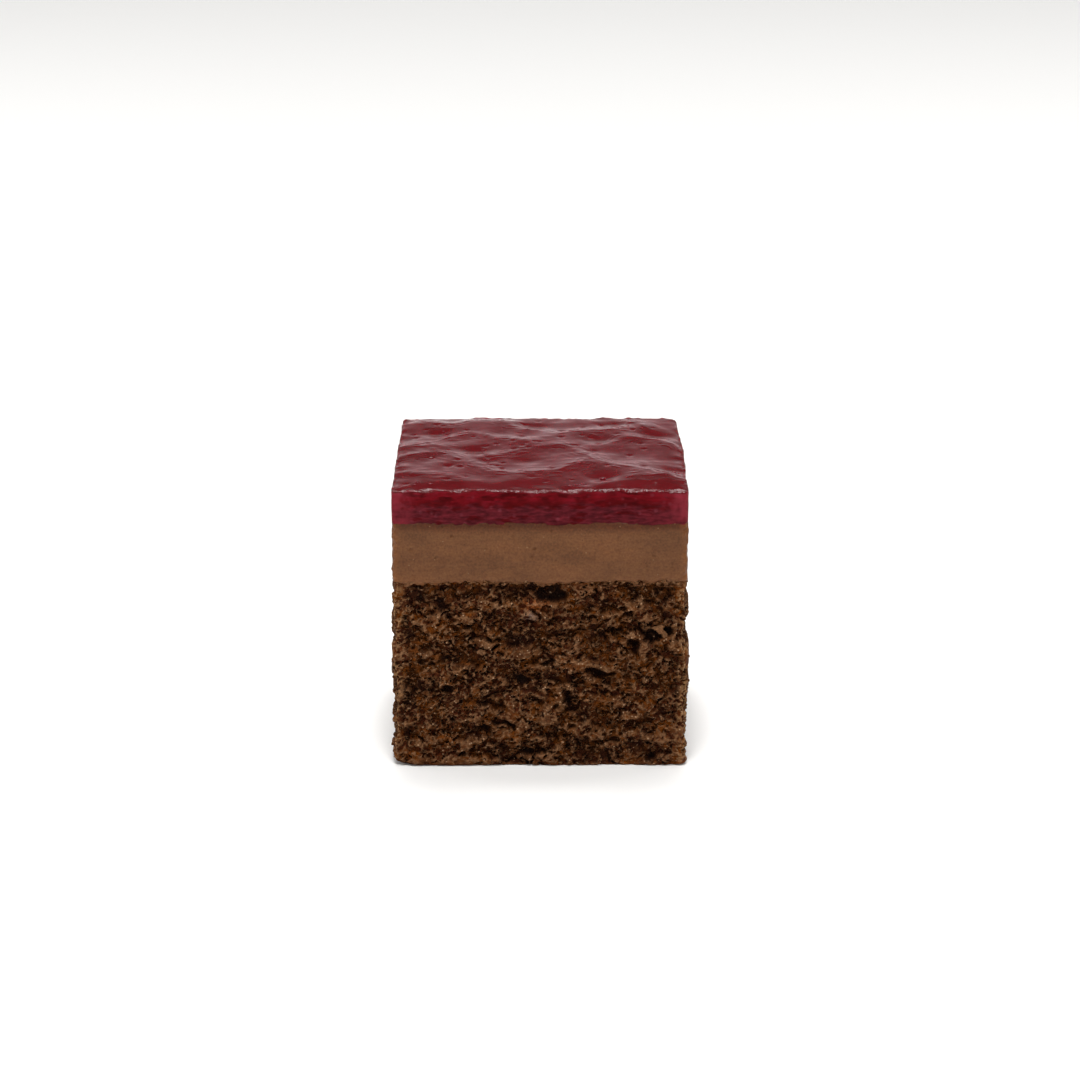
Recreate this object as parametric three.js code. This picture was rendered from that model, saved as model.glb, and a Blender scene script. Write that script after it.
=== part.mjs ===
// A cake bite: a cube cut from a tray cake of three layers.
// Chocolate sponge carries chocolate mousse, and berry jelly covers the top.
// Millimetres, +Z up. The origin is the middle of the underside, and the front faces -Y.

import * as THREE from "three";
import { mergeVertices } from "three/addons/utils/BufferGeometryUtils.js";

// Driving dimensions
const SIDE = 35; // width and depth of the cube
const SPONGE_HEIGHT = 22.8;
const MOUSSE_HEIGHT = 7.2;
const JELLY_HEIGHT = 4.2; // to the mean level of its wavy top
const SPONGE_EDGE = 1.0; // radius of the crumb's worn upright edges and foot
const MOUSSE_EDGE = 0.7; // radius of the knife-cut upright edges
const JELLY_EDGE = 0.6; // radius of the set rim and its upright edges

// Crumb relief on the sponge's four cut sides
const CRUMB_PITCH = 0.95; // spacing of the points that carry the relief
const CRAG_DEPTH = 0.35; // most that a point of torn crumb lies back from the cut
const PORES_PER_SIDE = 90;
const LARGEST_PORE = 2.1; // half length of an open pore
const SMALLEST_PORE = 0.8;
const PORE_FLATNESS = 0.62; // a pore's height over its length: the crumb settles as it cools
const PORE_DEPTH = 0.65; // a pore's depth over its half length
const PORE_SCATTER = 3; // most that chance moves a pore from its even place, from end to end
const CRUMB_SEED = 11;

// Waves in the jelly's top
const WAVE_PITCH = 1.5; // spacing of the points that carry the waves
const WAVE_COUNT = 7;
const LONGEST_WAVE = 12;
const WAVE_RATIO = 0.86; // each wave's length and height over those of the wave before it
const WAVE_HEIGHT = 0.13;
const GOLDEN_ANGLE = Math.PI * (3 - Math.sqrt(5)); // turns each wave away from the one before it

// Steps of the plane sequence that spreads pores evenly
const SPREAD_ALONG = 0.7548776662;
const SPREAD_UP = 0.569840291;

const HALF = SIDE / 2;
const SIDES = 4;
const ARC_STEPS = 4; // facets in a quarter turn of an edge
// Distance from a corner, over its radius, of the grid line that lands halfway round its arc
const HALF_ARC = 1 - Math.tan(Math.PI / 8);
const PLAIN_COLUMNS = 5; // fewest columns on a side: two across each rounded corner and one between
const WALL_STEPS = 2; // rows up the jelly's side below its rim

/** Gives draws from 0 to 1 that repeat for the same seed. */
function seededDraw(seed) {
  let state = seed;
  return () => {
    state = (state + 0x6d2b79f5) | 0;
    let mixed = Math.imul(state ^ (state >>> 15), state | 1);
    mixed ^= mixed + Math.imul(mixed ^ (mixed >>> 7), mixed | 61);
    return ((mixed ^ (mixed >>> 14)) >>> 0) / 2 ** 32;
  };
}

/**
 * Distance along a side, from its middle, of upright grid line i of n.
 * Two fine cells lie at each corner, with even ones between.
 */
function lineAlong(i, n, radius) {
  const corner = [0, HALF_ARC * radius, radius];
  const end = corner.length - 1;
  if (i <= end) return corner[i] - HALF;
  if (i >= n - end) return HALF - corner[n - i];
  return THREE.MathUtils.lerp(radius - HALF, HALF - radius, (i - end) / (n - 2 * end));
}

/** Point of the rounded square outline at a column, with the level direction that faces out of it there. */
function outlineAt(column, perSide, radius) {
  const along = lineAlong(column % perSide, perSide, radius);
  const square = new THREE.Vector3(along, -HALF, 0);
  const inner = HALF - radius;
  const core = square.clone().clamp(new THREE.Vector3(-inner, -inner, 0), new THREE.Vector3(inner, inner, 0));
  const outward = square.clone().sub(core).normalize();
  const point = core.addScaledVector(outward, radius);
  const side = Math.floor(column / perSide);
  const turn = (side * 2 * Math.PI) / SIDES;
  const up = new THREE.Vector3(0, 0, 1);
  return { side, along, point: point.applyAxisAngle(up, turn), outward: outward.applyAxisAngle(up, turn) };
}

/** Profile points from one radius and height to another, in even steps, without the first. */
function straight(from, to, steps) {
  return Array.from({ length: steps }, (_, i) => from.clone().lerp(to, (i + 1) / steps));
}

/** Profile points round a quarter turn of an edge, without the first. */
function quarterTurn(radius, height, edge, startAngle) {
  return Array.from({ length: ARC_STEPS }, (_, i) => {
    const angle = startAngle + ((i + 1) / ARC_STEPS) * (Math.PI / 2);
    return new THREE.Vector2(radius + edge * Math.cos(angle), height + edge * Math.sin(angle));
  });
}

/**
 * A layer turned from a profile that runs from the axis below to the axis above, then squared off.
 * shape(place) may move place.point, and is told its side, along, outward, column, row and radius.
 */
function layerGeometry(profile, perSide, edge, shape = () => {}) {
  const columns = SIDES * perSide;
  const lathe = new THREE.LatheGeometry(profile, columns);
  const positions = lathe.getAttribute("position");
  for (let v = 0; v < positions.count; v++) {
    const row = v % profile.length;
    const column = Math.floor(v / profile.length) % columns;
    const { x: radius, y: height } = profile[row];
    const place = { ...outlineAt(column, perSide, edge), column, row, radius };
    place.point.multiplyScalar(radius / HALF).setZ(height);
    shape(place);
    positions.setXYZ(v, ...place.point);
  }
  lathe.deleteAttribute("normal");
  lathe.deleteAttribute("uv");
  const closed = mergeVertices(lathe);
  closed.computeVertexNormals();
  return closed;
}

/** The open pores of one side, largest first: where each is, and its half length and half height. */
function poresOf(side, draw) {
  return Array.from({ length: PORES_PER_SIDE }, (_, rank) => {
    const step = rank + side * PORES_PER_SIDE;
    const length = LARGEST_PORE * (SMALLEST_PORE / LARGEST_PORE) ** (rank / (PORES_PER_SIDE - 1));
    const height = length * PORE_FLATNESS;
    const lowest = SPONGE_EDGE + height;
    return {
      along: (((step * SPREAD_ALONG) % 1) - 0.5) * (SIDE - 2 * SPONGE_EDGE) + PORE_SCATTER * (draw() - 0.5),
      up: lowest + ((step * SPREAD_UP) % 1) * (SPONGE_HEIGHT - lowest) + PORE_SCATTER * (draw() - 0.5),
      length,
      height,
    };
  });
}

/** Cut crumb: craggy sides with open pores, and a flat underside. */
function spongeGeometry() {
  const perSide = Math.round(SIDE / CRUMB_PITCH);
  const rows = Math.round(SPONGE_HEIGHT / CRUMB_PITCH);
  const foot = new THREE.Vector2(HALF, SPONGE_EDGE);
  const profile = [
    new THREE.Vector2(0, 0),
    new THREE.Vector2(HALF - SPONGE_EDGE, 0),
    ...quarterTurn(HALF - SPONGE_EDGE, SPONGE_EDGE, SPONGE_EDGE, -Math.PI / 2),
    ...straight(foot, new THREE.Vector2(HALF, SPONGE_HEIGHT), rows),
    new THREE.Vector2(0, SPONGE_HEIGHT),
  ];
  const draw = seededDraw(CRUMB_SEED);
  const crags = Array.from({ length: SIDES * perSide * profile.length }, () => CRAG_DEPTH * draw());
  const pores = Array.from({ length: SIDES }, (_, side) => poresOf(side, draw));
  const tear = ({ point, side, along, outward, column, row, radius }) => {
    if (radius <= HALF - SPONGE_EDGE) return;
    const bowls = pores[side].map((pore) => {
      const across = (along - pore.along) / pore.length;
      const above = (point.z - pore.up) / pore.height;
      return PORE_DEPTH * pore.length * Math.sqrt(Math.max(0, 1 - across ** 2 - above ** 2));
    });
    point.addScaledVector(outward, -Math.max(...bowls) - crags[column * profile.length + row]);
  };
  return layerGeometry(profile, perSide, SPONGE_EDGE, tear);
}

/** Smooth mousse, level above and below. */
function mousseGeometry() {
  const profile = [
    new THREE.Vector2(0, 0),
    new THREE.Vector2(HALF, 0),
    new THREE.Vector2(HALF, MOUSSE_HEIGHT),
    new THREE.Vector2(0, MOUSSE_HEIGHT),
  ];
  return layerGeometry(profile, PLAIN_COLUMNS, MOUSSE_EDGE);
}

/** Height of the jelly's top above its mean level: crossing waves, each shorter and lower than the last. */
function waveHeight(x, y) {
  let sum = 0;
  for (let k = 0; k < WAVE_COUNT; k++) {
    const scale = WAVE_RATIO ** k;
    const turn = k * GOLDEN_ANGLE;
    const distance = x * Math.cos(turn) + y * Math.sin(turn);
    sum += WAVE_HEIGHT * scale * Math.sin((2 * Math.PI * distance) / (LONGEST_WAVE * scale) + k * k);
  }
  return sum;
}

/** Set jelly: a wavy top with a rounded rim, level below. */
function jellyGeometry() {
  const shoulder = JELLY_HEIGHT - JELLY_EDGE;
  const rim = new THREE.Vector2(HALF - JELLY_EDGE, JELLY_HEIGHT);
  const profile = [
    new THREE.Vector2(0, 0),
    new THREE.Vector2(HALF, 0),
    ...straight(new THREE.Vector2(HALF, 0), new THREE.Vector2(HALF, shoulder), WALL_STEPS),
    ...quarterTurn(rim.x, shoulder, JELLY_EDGE, 0),
    ...straight(rim, new THREE.Vector2(0, JELLY_HEIGHT), Math.round(HALF / WAVE_PITCH)),
  ];
  return layerGeometry(profile, Math.round(SIDE / WAVE_PITCH), JELLY_EDGE, ({ point }) => {
    point.z += (waveHeight(point.x, point.y) * point.z) / JELLY_HEIGHT;
  });
}

/** One layer of the cake with its base at the given height. */
function layerMesh(name, geometry, base, finish) {
  const mesh = new THREE.Mesh(geometry, new THREE.MeshStandardMaterial({ metalness: 0, ...finish }));
  mesh.name = name;
  mesh.position.z = base;
  return mesh;
}

const cakeBite = new THREE.Group();
cakeBite.add(
  layerMesh("sponge", spongeGeometry(), 0, { color: "#4c2e1c", roughness: 0.9 }),
  layerMesh("mousse", mousseGeometry(), SPONGE_HEIGHT, { color: "#6e4a33", roughness: 0.6 }),
  layerMesh("jelly", jellyGeometry(), SPONGE_HEIGHT + MOUSSE_HEIGHT, { color: "#65131b", roughness: 0.15 }),
);

export default cakeBite;
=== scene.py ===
"""Looks of a cake bite: torn chocolate crumb, smooth chocolate mousse and glossy berry jelly.

Sizes are millimetres unless a name says otherwise. +Z is up and the front faces -Y.
Each surface is a grid of two parameters, worked out with numpy and put into a mesh in metres.
"""

import logging
import math
from dataclasses import dataclass, field
from enum import Enum

import bpy
import numpy as np
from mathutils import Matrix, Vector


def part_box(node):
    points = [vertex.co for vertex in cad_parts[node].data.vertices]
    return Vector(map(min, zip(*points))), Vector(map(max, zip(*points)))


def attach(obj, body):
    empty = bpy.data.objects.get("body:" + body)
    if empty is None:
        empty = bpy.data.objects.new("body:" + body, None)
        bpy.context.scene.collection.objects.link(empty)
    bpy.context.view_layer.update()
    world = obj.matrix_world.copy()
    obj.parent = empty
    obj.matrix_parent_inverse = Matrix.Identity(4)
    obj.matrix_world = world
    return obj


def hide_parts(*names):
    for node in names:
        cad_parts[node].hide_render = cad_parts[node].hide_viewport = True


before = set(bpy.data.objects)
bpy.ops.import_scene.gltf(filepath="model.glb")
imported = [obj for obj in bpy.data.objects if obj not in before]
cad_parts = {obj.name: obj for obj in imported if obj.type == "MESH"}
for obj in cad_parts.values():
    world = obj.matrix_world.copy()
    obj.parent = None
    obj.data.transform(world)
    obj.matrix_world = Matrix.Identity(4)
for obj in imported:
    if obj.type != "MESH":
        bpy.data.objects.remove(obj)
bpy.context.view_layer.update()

MM = 0.001  # metres in a millimetre
QUARTERS = 4  # upright sides of the cake
SQUARE = ((-1, -1), (1, -1), (1, 1), (-1, 1))  # corners, anticlockwise seen from above
BAKE_MAP = "OFBake"  # UV map that lays a surface's grid out flat
BODY = "root"
SEAM_SLOPE = 1.5  # how fast a layer's face draws back beyond the seam with the next layer
CRUMB_MARKS = ("pit_shade", "crest", "strand", "painted_rim_light", "lift", "rust", "ash")  # values at each point of the crumb

Four = tuple[float, float, float, float]
Array = np.ndarray
Chance = np.random.Generator
Material = bpy.types.Material
Piece = bpy.types.Object
Tree = bpy.types.NodeTree
Socket = bpy.types.NodeSocket

log = logging.getLogger("cake_bite")


class Side(Enum):
    """The upright sides, in the order in which the unrolled strip meets them."""

    FRONT = 0
    RIGHT = 1
    BACK = 2
    LEFT = 3


class Mixing(Enum):
    """How a second colour acts on a first one."""

    OVER = "MIX"
    ADD = "ADD"
    MULTIPLY = "MULTIPLY"


def linear(code: str) -> Four:
    """Linear colour of an sRGB hex value, by the two-part curve of that standard.

    Args:
        code: The value, with a hash before its six digits.

    Returns:
        Red, green, blue and an opacity of 1.
    """
    parts = [int(code[start : start + 2], 16) / 255 for start in (1, 3, 5)]
    red, green, blue = (p / 12.92 if p <= 0.04045 else ((p + 0.055) / 1.055) ** 2.4 for p in parts)
    return red, green, blue, 1.0


def smooth_step(value: Array, low: float, high: float) -> Array:
    """0 below low and 1 above high, with the cubic 3t^2 - 2t^3 between them."""
    t = np.clip((value - low) / (high - low), 0.0, 1.0)
    return t * t * (3.0 - 2.0 * t)


def from_least(least: float, share: Array) -> Array:
    """A share from 0 to 1, brought to between a least one and 1."""
    return least + (1 - least) * share


@dataclass(frozen=True)
class Levels:
    """Driving sizes of the cake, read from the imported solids."""

    side: float  # width and depth of the cube
    sponge_top: float  # height at which crumb gives way to mousse
    mousse_top: float  # height at which mousse gives way to jelly
    jelly_top: float  # mean height of the jelly's wavy top

    @property
    def jelly_seam(self) -> "Seam":
        """The line between mousse and jelly."""
        return Seam(self.mousse_top, QUARTERS * self.side)

    @classmethod
    def from_frame(cls, jelly_thickness: float = 4.2) -> "Levels":
        """Reads the sizes from the boxes of the CAD nodes.

        Args:
            jelly_thickness: Mean thickness of the jelly, which its wavy box doesn't give.

        Returns:
            The cake's driving sizes.
        """
        low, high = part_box("mousse")
        bottom, top, width = low.z / MM, high.z / MM, (high.x - low.x) / MM
        return cls(width, bottom, top, top + jelly_thickness)


class Grain:
    """Seeded random fields whose lumps have a chosen size."""

    def __init__(self, seed: int) -> None:
        """Starts the draws."""
        self.draw = np.random.default_rng(seed)

    def field(self, shape: tuple[int, int], step: float, across: float, up: float) -> Array:
        """White noise blurred by a bell curve and scaled to mean 0 and deviation 1.

        The noise's spectrum is multiplied by exp(-2 (pi f s)^2) in each direction, so the field runs on
        across its opposite edges without a seam.

        Args:
            shape: Rows and columns of the grid.
            step: Spacing of the grid.
            across: Deviation of the blur along a row.
            up: Deviation of the blur along a column.

        Returns:
            The field, one value for each point of the grid.
        """
        white = self.draw.standard_normal(shape)
        rising = np.fft.fftfreq(shape[0], step)[:, None]
        running = np.fft.rfftfreq(shape[1], step)[None, :]
        blur = np.exp(-2.0 * np.pi**2 * ((running * across) ** 2 + (rising * up) ** 2))
        soft = np.fft.irfft2(np.fft.rfft2(white) * blur, s=shape)
        return (soft - soft.mean()) / soft.std()


def blurred(values: Array, step: float, size: float) -> Array:
    """Values of a strip's grid averaged by a bell curve, with the first and last rows held on beyond it.

    Args:
        values: One value for each point, rows by columns.
        step: Spacing of the grid.
        size: Deviation of the bell curve.

    Returns:
        The averages, of the same shape.
    """
    margin = math.ceil(3 * size / step)
    padded = np.pad(values, ((margin, margin), (0, 0)), mode="edge")
    rising = np.fft.fftfreq(padded.shape[0], step)[:, None]
    running = np.fft.rfftfreq(padded.shape[1], step)[None, :]
    kernel = np.exp(-2.0 * (np.pi * size) ** 2 * (running**2 + rising**2))
    return np.fft.irfft2(np.fft.rfft2(padded) * kernel, s=padded.shape)[margin:-margin]


@dataclass(frozen=True)
class Ripple:
    """Random unevenness of one size."""

    height: float  # deviation of its height
    across: float  # deviation of its blur along a row
    up: float  # deviation of its blur along a column

    def over(self, shape: tuple[int, int], step: float, grain: Grain) -> Array:
        """Draws its heights on a grid of a shape and a spacing."""
        return self.height * grain.field(shape, step, self.across, self.up)


@dataclass(frozen=True)
class Strip:
    """The four upright sides of a layer, unrolled into one grid.

    Columns run anticlockwise seen from above, starting at the left end of the front, and close on
    themselves. Rows run up.
    """

    side: float  # width of each side
    low: float  # height of the first row
    high: float  # height of the last row
    step: float  # spacing of the grid, both ways
    corners: Four  # radii of the upright edges: front left, front right, back right, back left
    turn: float = 4.0  # distance from an upright edge in which rays swing from square-on to diagonal
    narrowing: float = 0.018  # how much narrower the back is than the front, as a share of the width

    @property
    def per_side(self) -> int:
        """Columns on each side."""
        return round(self.side / self.step)

    @property
    def shape(self) -> tuple[int, int]:
        """Rows and columns of points."""
        return round((self.high - self.low) / self.step) + 1, QUARTERS * self.per_side

    @property
    def heights(self) -> Array:
        """Height of each row, as a column array."""
        return np.linspace(self.low, self.high, self.shape[0])[:, None]

    @property
    def distances(self) -> Array:
        """Distance of each column round the sides, as a row array."""
        return (np.arange(self.shape[1]) * self.side / self.per_side)[None, :]

    @property
    def length(self) -> float:
        """Distance once round the sides."""
        return QUARTERS * self.side

    def from_edge(self) -> Array:
        """Distance of each column from the nearest upright edge, as a row array."""
        along = self.distances % self.side
        return np.minimum(along, self.side - along)

    def trace(self) -> tuple[Array, Array]:
        """Outline of the layer and the level rays that face out of it.

        A column at a from the middle of its side starts at (a, -half) on the square. The nearest point
        of the square shrunk by the corner's radius gives a direction, and the outline lies one radius
        out along it. Its ray comes from the square shrunk by the turn. Each side is turned a quarter on.

        Returns:
            Points and unit rays, each columns by 2.
        """
        half = self.side / 2
        along = self.distances[0] % self.side - half
        quarter = np.arange(self.shape[1]) // self.per_side
        ends = (quarter + (along >= 0)) % QUARTERS
        radius = np.array(self.corners)[ends][:, None]
        square = np.stack([along, np.full_like(along, -half)], axis=1)
        core = np.clip(square, radius - half, half - radius)
        away = square - core
        points = core + radius * away / np.linalg.norm(away, axis=1, keepdims=True)
        rays = points - np.clip(square, self.turn - half, half - self.turn)
        rays /= np.linalg.norm(rays, axis=1, keepdims=True)
        angle = quarter * (2 * np.pi / QUARTERS)
        cos, sin = np.cos(angle), np.sin(angle)
        spin = np.stack([np.stack([cos, -sin], 1), np.stack([sin, cos], 1)], 1)
        outline = np.einsum("cij,cj->ci", spin, points)
        outline[:, 0] *= 1 - self.narrowing * smooth_step(outline[:, 1], 0.0, half)
        return outline, np.einsum("cij,cj->ci", spin, rays)

    def place(self, depth: Array, heights: Array) -> Array:
        """Points that lie a depth in from the outline along its rays.

        Args:
            depth: Depth of each point, rows by columns.
            heights: Height of each point, of the same shape or one that spreads to it.

        Returns:
            Points in millimetres, rows by columns by 3.
        """
        points, rays = self.trace()
        level = points[None] - rays[None] * depth[..., None]
        return np.concatenate([level, np.broadcast_to(heights, depth.shape)[..., None]], axis=2)


@dataclass(frozen=True)
class Seam:
    """Uneven line round the sides where one layer gives way to the next."""

    level: float  # its mean height
    length: float  # distance once round the sides
    swing: float = 0.09  # deviation of its height
    shortest: float = 0.6  # length of its shortest wave
    longest: float = 12.0  # length of its longest wave
    waves: int = 48  # how many waves add up
    seed: int = 3  # start of the draws

    def at(self, distances: Array) -> Array:
        """Height at distances round the sides.

        It is a sum of waves sin(2 pi n s / L + p) / sqrt(n), each n a whole number, so that it closes.

        Args:
            distances: The distances.

        Returns:
            Heights of the same shape.
        """
        draw = np.random.default_rng(self.seed)
        turns = np.round(self.length / np.geomspace(self.longest, self.shortest, self.waves))
        phases = draw.uniform(0, 2 * np.pi, self.waves)
        shares = np.sqrt(1 / turns)
        shares *= math.sqrt(2 / (shares**2).sum())
        waves = shares * np.sin(2 * np.pi * distances[..., None] * turns / self.length + phases)
        return self.level + self.swing * waves.sum(axis=-1)


@dataclass(frozen=True)
class Bubbles:
    """One size of gas bubble in a cut face."""

    half_length: float  # mean half length along the side
    share: float  # share of the cut layer's volume that these bubbles take
    flatness: float  # height over length
    reach: float  # depth behind the cut within which their centres lie
    spread: float = 0.35  # most that chance makes one longer or shorter, as a share of half_length
    outmost: float = 0.6  # how far in front of the cut a centre may lie, as a share of half_length
    heights: tuple[float, float] = (0.8, 1.25)  # least and most that chance multiplies a height by
    depths: tuple[float, float] = (0.75, 1.1)  # half depths over half lengths, least and most

    def scatter(self, strip: Strip, draw: Chance) -> Array:
        """Draws the bubbles that the strip cuts.

        Args:
            strip: The sides that cut them.
            draw: Source of chance.

        Returns:
            Rows of distance round, height, depth of centre, half length, half height and half depth.
        """
        size = self.half_length
        volume = 4 / 3 * math.pi * size**3 * self.flatness
        count = round(self.share * strip.length * strip.high * (self.reach + size) / volume)
        lengths = size * (1 + self.spread * draw.uniform(-1, 1, count))
        centres = draw.uniform(-self.outmost * size, self.reach, count)
        heights = lengths * self.flatness * draw.uniform(*self.heights, count)
        depths = lengths * draw.uniform(*self.depths, count)
        rounds = draw.uniform(0, strip.length, count)
        rises = draw.uniform(0, strip.high, count)
        return np.stack([rounds, rises, centres, lengths, heights, depths], axis=1)


def carve(depth: Array, strip: Strip, round_at: Array, up_at: Array, bubbles: Array) -> None:
    """Deepens a cut face to the far wall of every bubble that it opens.

    A ray goes straight in from the face. Where it has reached the inside of a bubble, it goes on to the
    far wall, at c + h sqrt(1 - (du/a)^2 - (dz/b)^2). A bubble counts only where its near wall, with a
    minus, is no deeper than the ray has come.

    Args:
        depth: Depth of each point, changed in place.
        strip: The grid of the face.
        round_at: Distance round at which each point meets the bubbles.
        up_at: Height at which each point meets the bubbles.
        bubbles: Rows as Bubbles.scatter gives them.
    """
    rows, columns = strip.shape
    at, level, centre, length, height, inward = np.split(bubbles, bubbles.shape[1], axis=1)
    slack, spare = 1.3, 2  # a bubble's window is larger than itself by this share and so many points
    wide = math.ceil(slack * length.max() / strip.step) + spare
    high = math.ceil(slack * height.max() / strip.step) + spare
    window = np.meshgrid(np.arange(-wide, wide + 1), np.arange(-high, high + 1))
    off_column, off_row = (offsets.ravel() for offsets in window)
    column = (np.round(at / strip.step).astype(int) + off_column) % columns
    row = np.round((level - strip.low) / strip.step).astype(int) + off_row
    inside = (row >= 0) & (row < rows)
    row = np.clip(row, 0, rows - 1)
    gap = (round_at[row, column] - at + strip.length / 2) % strip.length - strip.length / 2
    rise = up_at[row, column] - level
    left = 1.0 - (gap / length) ** 2 - (rise / height) ** 2
    inside &= left > 0
    half = inward * np.sqrt(np.clip(left, 0, None))
    inside &= centre - half <= depth[row, column]
    np.maximum.at(depth, (row[inside], column[inside]), (centre + half)[inside])


@dataclass(frozen=True)
class Octave:
    """One size of lump in porous crumb."""

    along: float  # deviation of its blur along the side, about a third of a lump's length
    up: float  # deviation of its blur upwards
    inward: float  # deviation of its blur into the cake
    height: float  # deviation of its share of the field


@dataclass(frozen=True)
class Lace:
    """Porous crumb behind a torn face, as a random field in three directions."""

    octaves: tuple[Octave, ...]  # sizes of lump, largest first
    nearest: float = -0.7  # depth of the foremost lumps, negative where they stand proud
    furthest: float = 3.2  # depth at which every ray has met crumb
    layer: float = 0.07  # spacing of the layers in which a ray looks for crumb
    onset: float = 0.68  # what the field needs at no depth to count as crumb
    easing: float = 1.8  # how much less it needs for each millimetre of depth
    proud: float = 0.15  # how far crumb stands out of the far wall of an opening

    @property
    def depths(self) -> Array:
        """Depth of each layer."""
        return np.arange(self.nearest, self.furthest, self.layer)

    def field(self, strip: Strip, draw: Chance) -> Array:
        """White noise filtered so that its power is the sum of the octaves' powers.

        An octave's power falls off with frequency as exp(-4 (pi f s)^2) in each direction, s being its
        blur there, and is scaled so that its share of the field has the octave's deviation.

        Args:
            strip: The grid of the face.
            draw: Source of chance.

        Returns:
            The field, layers by rows by columns.
        """
        shape = (len(self.depths), *strip.shape)
        inward = np.fft.fftfreq(shape[0], self.layer)[:, None, None]
        up = np.fft.fftfreq(shape[1], strip.step)[None, :, None]
        along = np.fft.rfftfreq(shape[2], strip.step)[None, None, :]
        power = np.zeros(np.broadcast_shapes(inward.shape, up.shape, along.shape))
        for octave in self.octaves:
            reach = (along * octave.along) ** 2 + (up * octave.up) ** 2 + (inward * octave.inward) ** 2
            falling = np.exp(-4.0 * np.pi**2 * reach)
            power += octave.height**2 * falling / falling.mean()
        return np.fft.irfftn(np.fft.rfftn(draw.standard_normal(shape)) * np.sqrt(power), s=shape)

    def meet(self, crumb: Array, start: Array | None = None) -> Array:
        """Depth at which each ray, going straight in, first meets crumb.

        Crumb is where the field plus easing times depth passes the onset. Between two layers the depth is
        where a straight line through their values does. Behind an opening the depth counts from its far
        wall, so that crumb stands out of that wall as it does out of the face.

        Args:
            crumb: The field.
            start: Depth of each ray's opening, or None for the face itself.

        Returns:
            Depths, rows by columns.
        """
        depths = self.depths
        inward = depths[:, None, None] - (0.0 if start is None else start)
        over = crumb + self.easing * inward - self.onset
        solid = (over > 0) & (inward > self.nearest if start is None else inward > -self.proud)
        solid[-1] = True
        first = np.argmax(solid, axis=0)
        here = np.take_along_axis(over, first[None], axis=0)[0]
        before = np.take_along_axis(over, np.maximum(first - 1, 0)[None], axis=0)[0]
        back = np.clip(here / np.maximum(here - before, 1e-6), 0, 1) * (first > 0)
        return depths[first] - self.layer * back


@dataclass
class Patch:
    """Faces of one stretch of a surface."""

    corners: Array  # numbers of the faces' points, face after face
    sizes: Array  # corners of each face
    places: Array  # place of each corner in the bake map
    smooth: bool = True  # whether shading runs on from face to face
    finish: int = 0  # number of the piece's material


@dataclass(frozen=True)
class Frame2D:
    """A rectangle of the bake map, as shares of its width and height."""

    left: float
    low: float
    right: float
    high: float


FACE_FRAME = Frame2D(0.01, 0.01, 0.99, 0.85)  # where a layer's sides lie in the bake map
LID_FRAMES = [Frame2D(0.02 + 0.245 * k, 0.88, 0.245 * (k + 1), 0.98) for k in range(QUARTERS)]  # its lids


def quilt(ids: Array, box: Frame2D, finish: int = 0) -> Patch:
    """Quads between neighbouring points of a grid.

    They face the way that the columns' direction crossed with the rows' direction points.

    Args:
        ids: Numbers of the points, rows by columns. A strip that closes repeats its first column.
        box: Where the grid lies in the bake map.
        finish: Number of the piece's material.

    Returns:
        The quads.
    """
    rows, columns = ids.shape
    across, up = np.meshgrid(np.linspace(box.left, box.right, columns), np.linspace(box.low, box.high, rows))
    spots = np.stack([across, up], axis=-1)
    here, on = slice(None, -1), slice(1, None)
    around = ((here, here), (here, on), (on, on), (on, here))
    corners = np.stack([ids[part] for part in around], axis=-1).reshape(-1)
    places = np.stack([spots[part] for part in around], axis=2).reshape(-1, 2)
    return Patch(corners, np.full((rows - 1) * (columns - 1), len(around)), places, True, finish)


def lid(ring: Array, points: Array, box: Frame2D, finish: int = 0) -> Patch:
    """One flat face through a ring of points, seen anticlockwise from outside.

    Args:
        ring: Numbers of the points.
        points: All points of the piece.
        box: Where the face lies in the bake map.
        finish: Number of the piece's material.

    Returns:
        The face.
    """
    around = points[ring]
    flat = around[:, np.argsort(np.ptp(around, axis=0))[1:]]
    share = (flat - flat.min(axis=0)) / np.ptp(flat, axis=0)
    places = np.array([box.left, box.low]) + share * [box.right - box.left, box.high - box.low]
    return Patch(ring, np.array([len(ring)]), places, False, finish)


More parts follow.
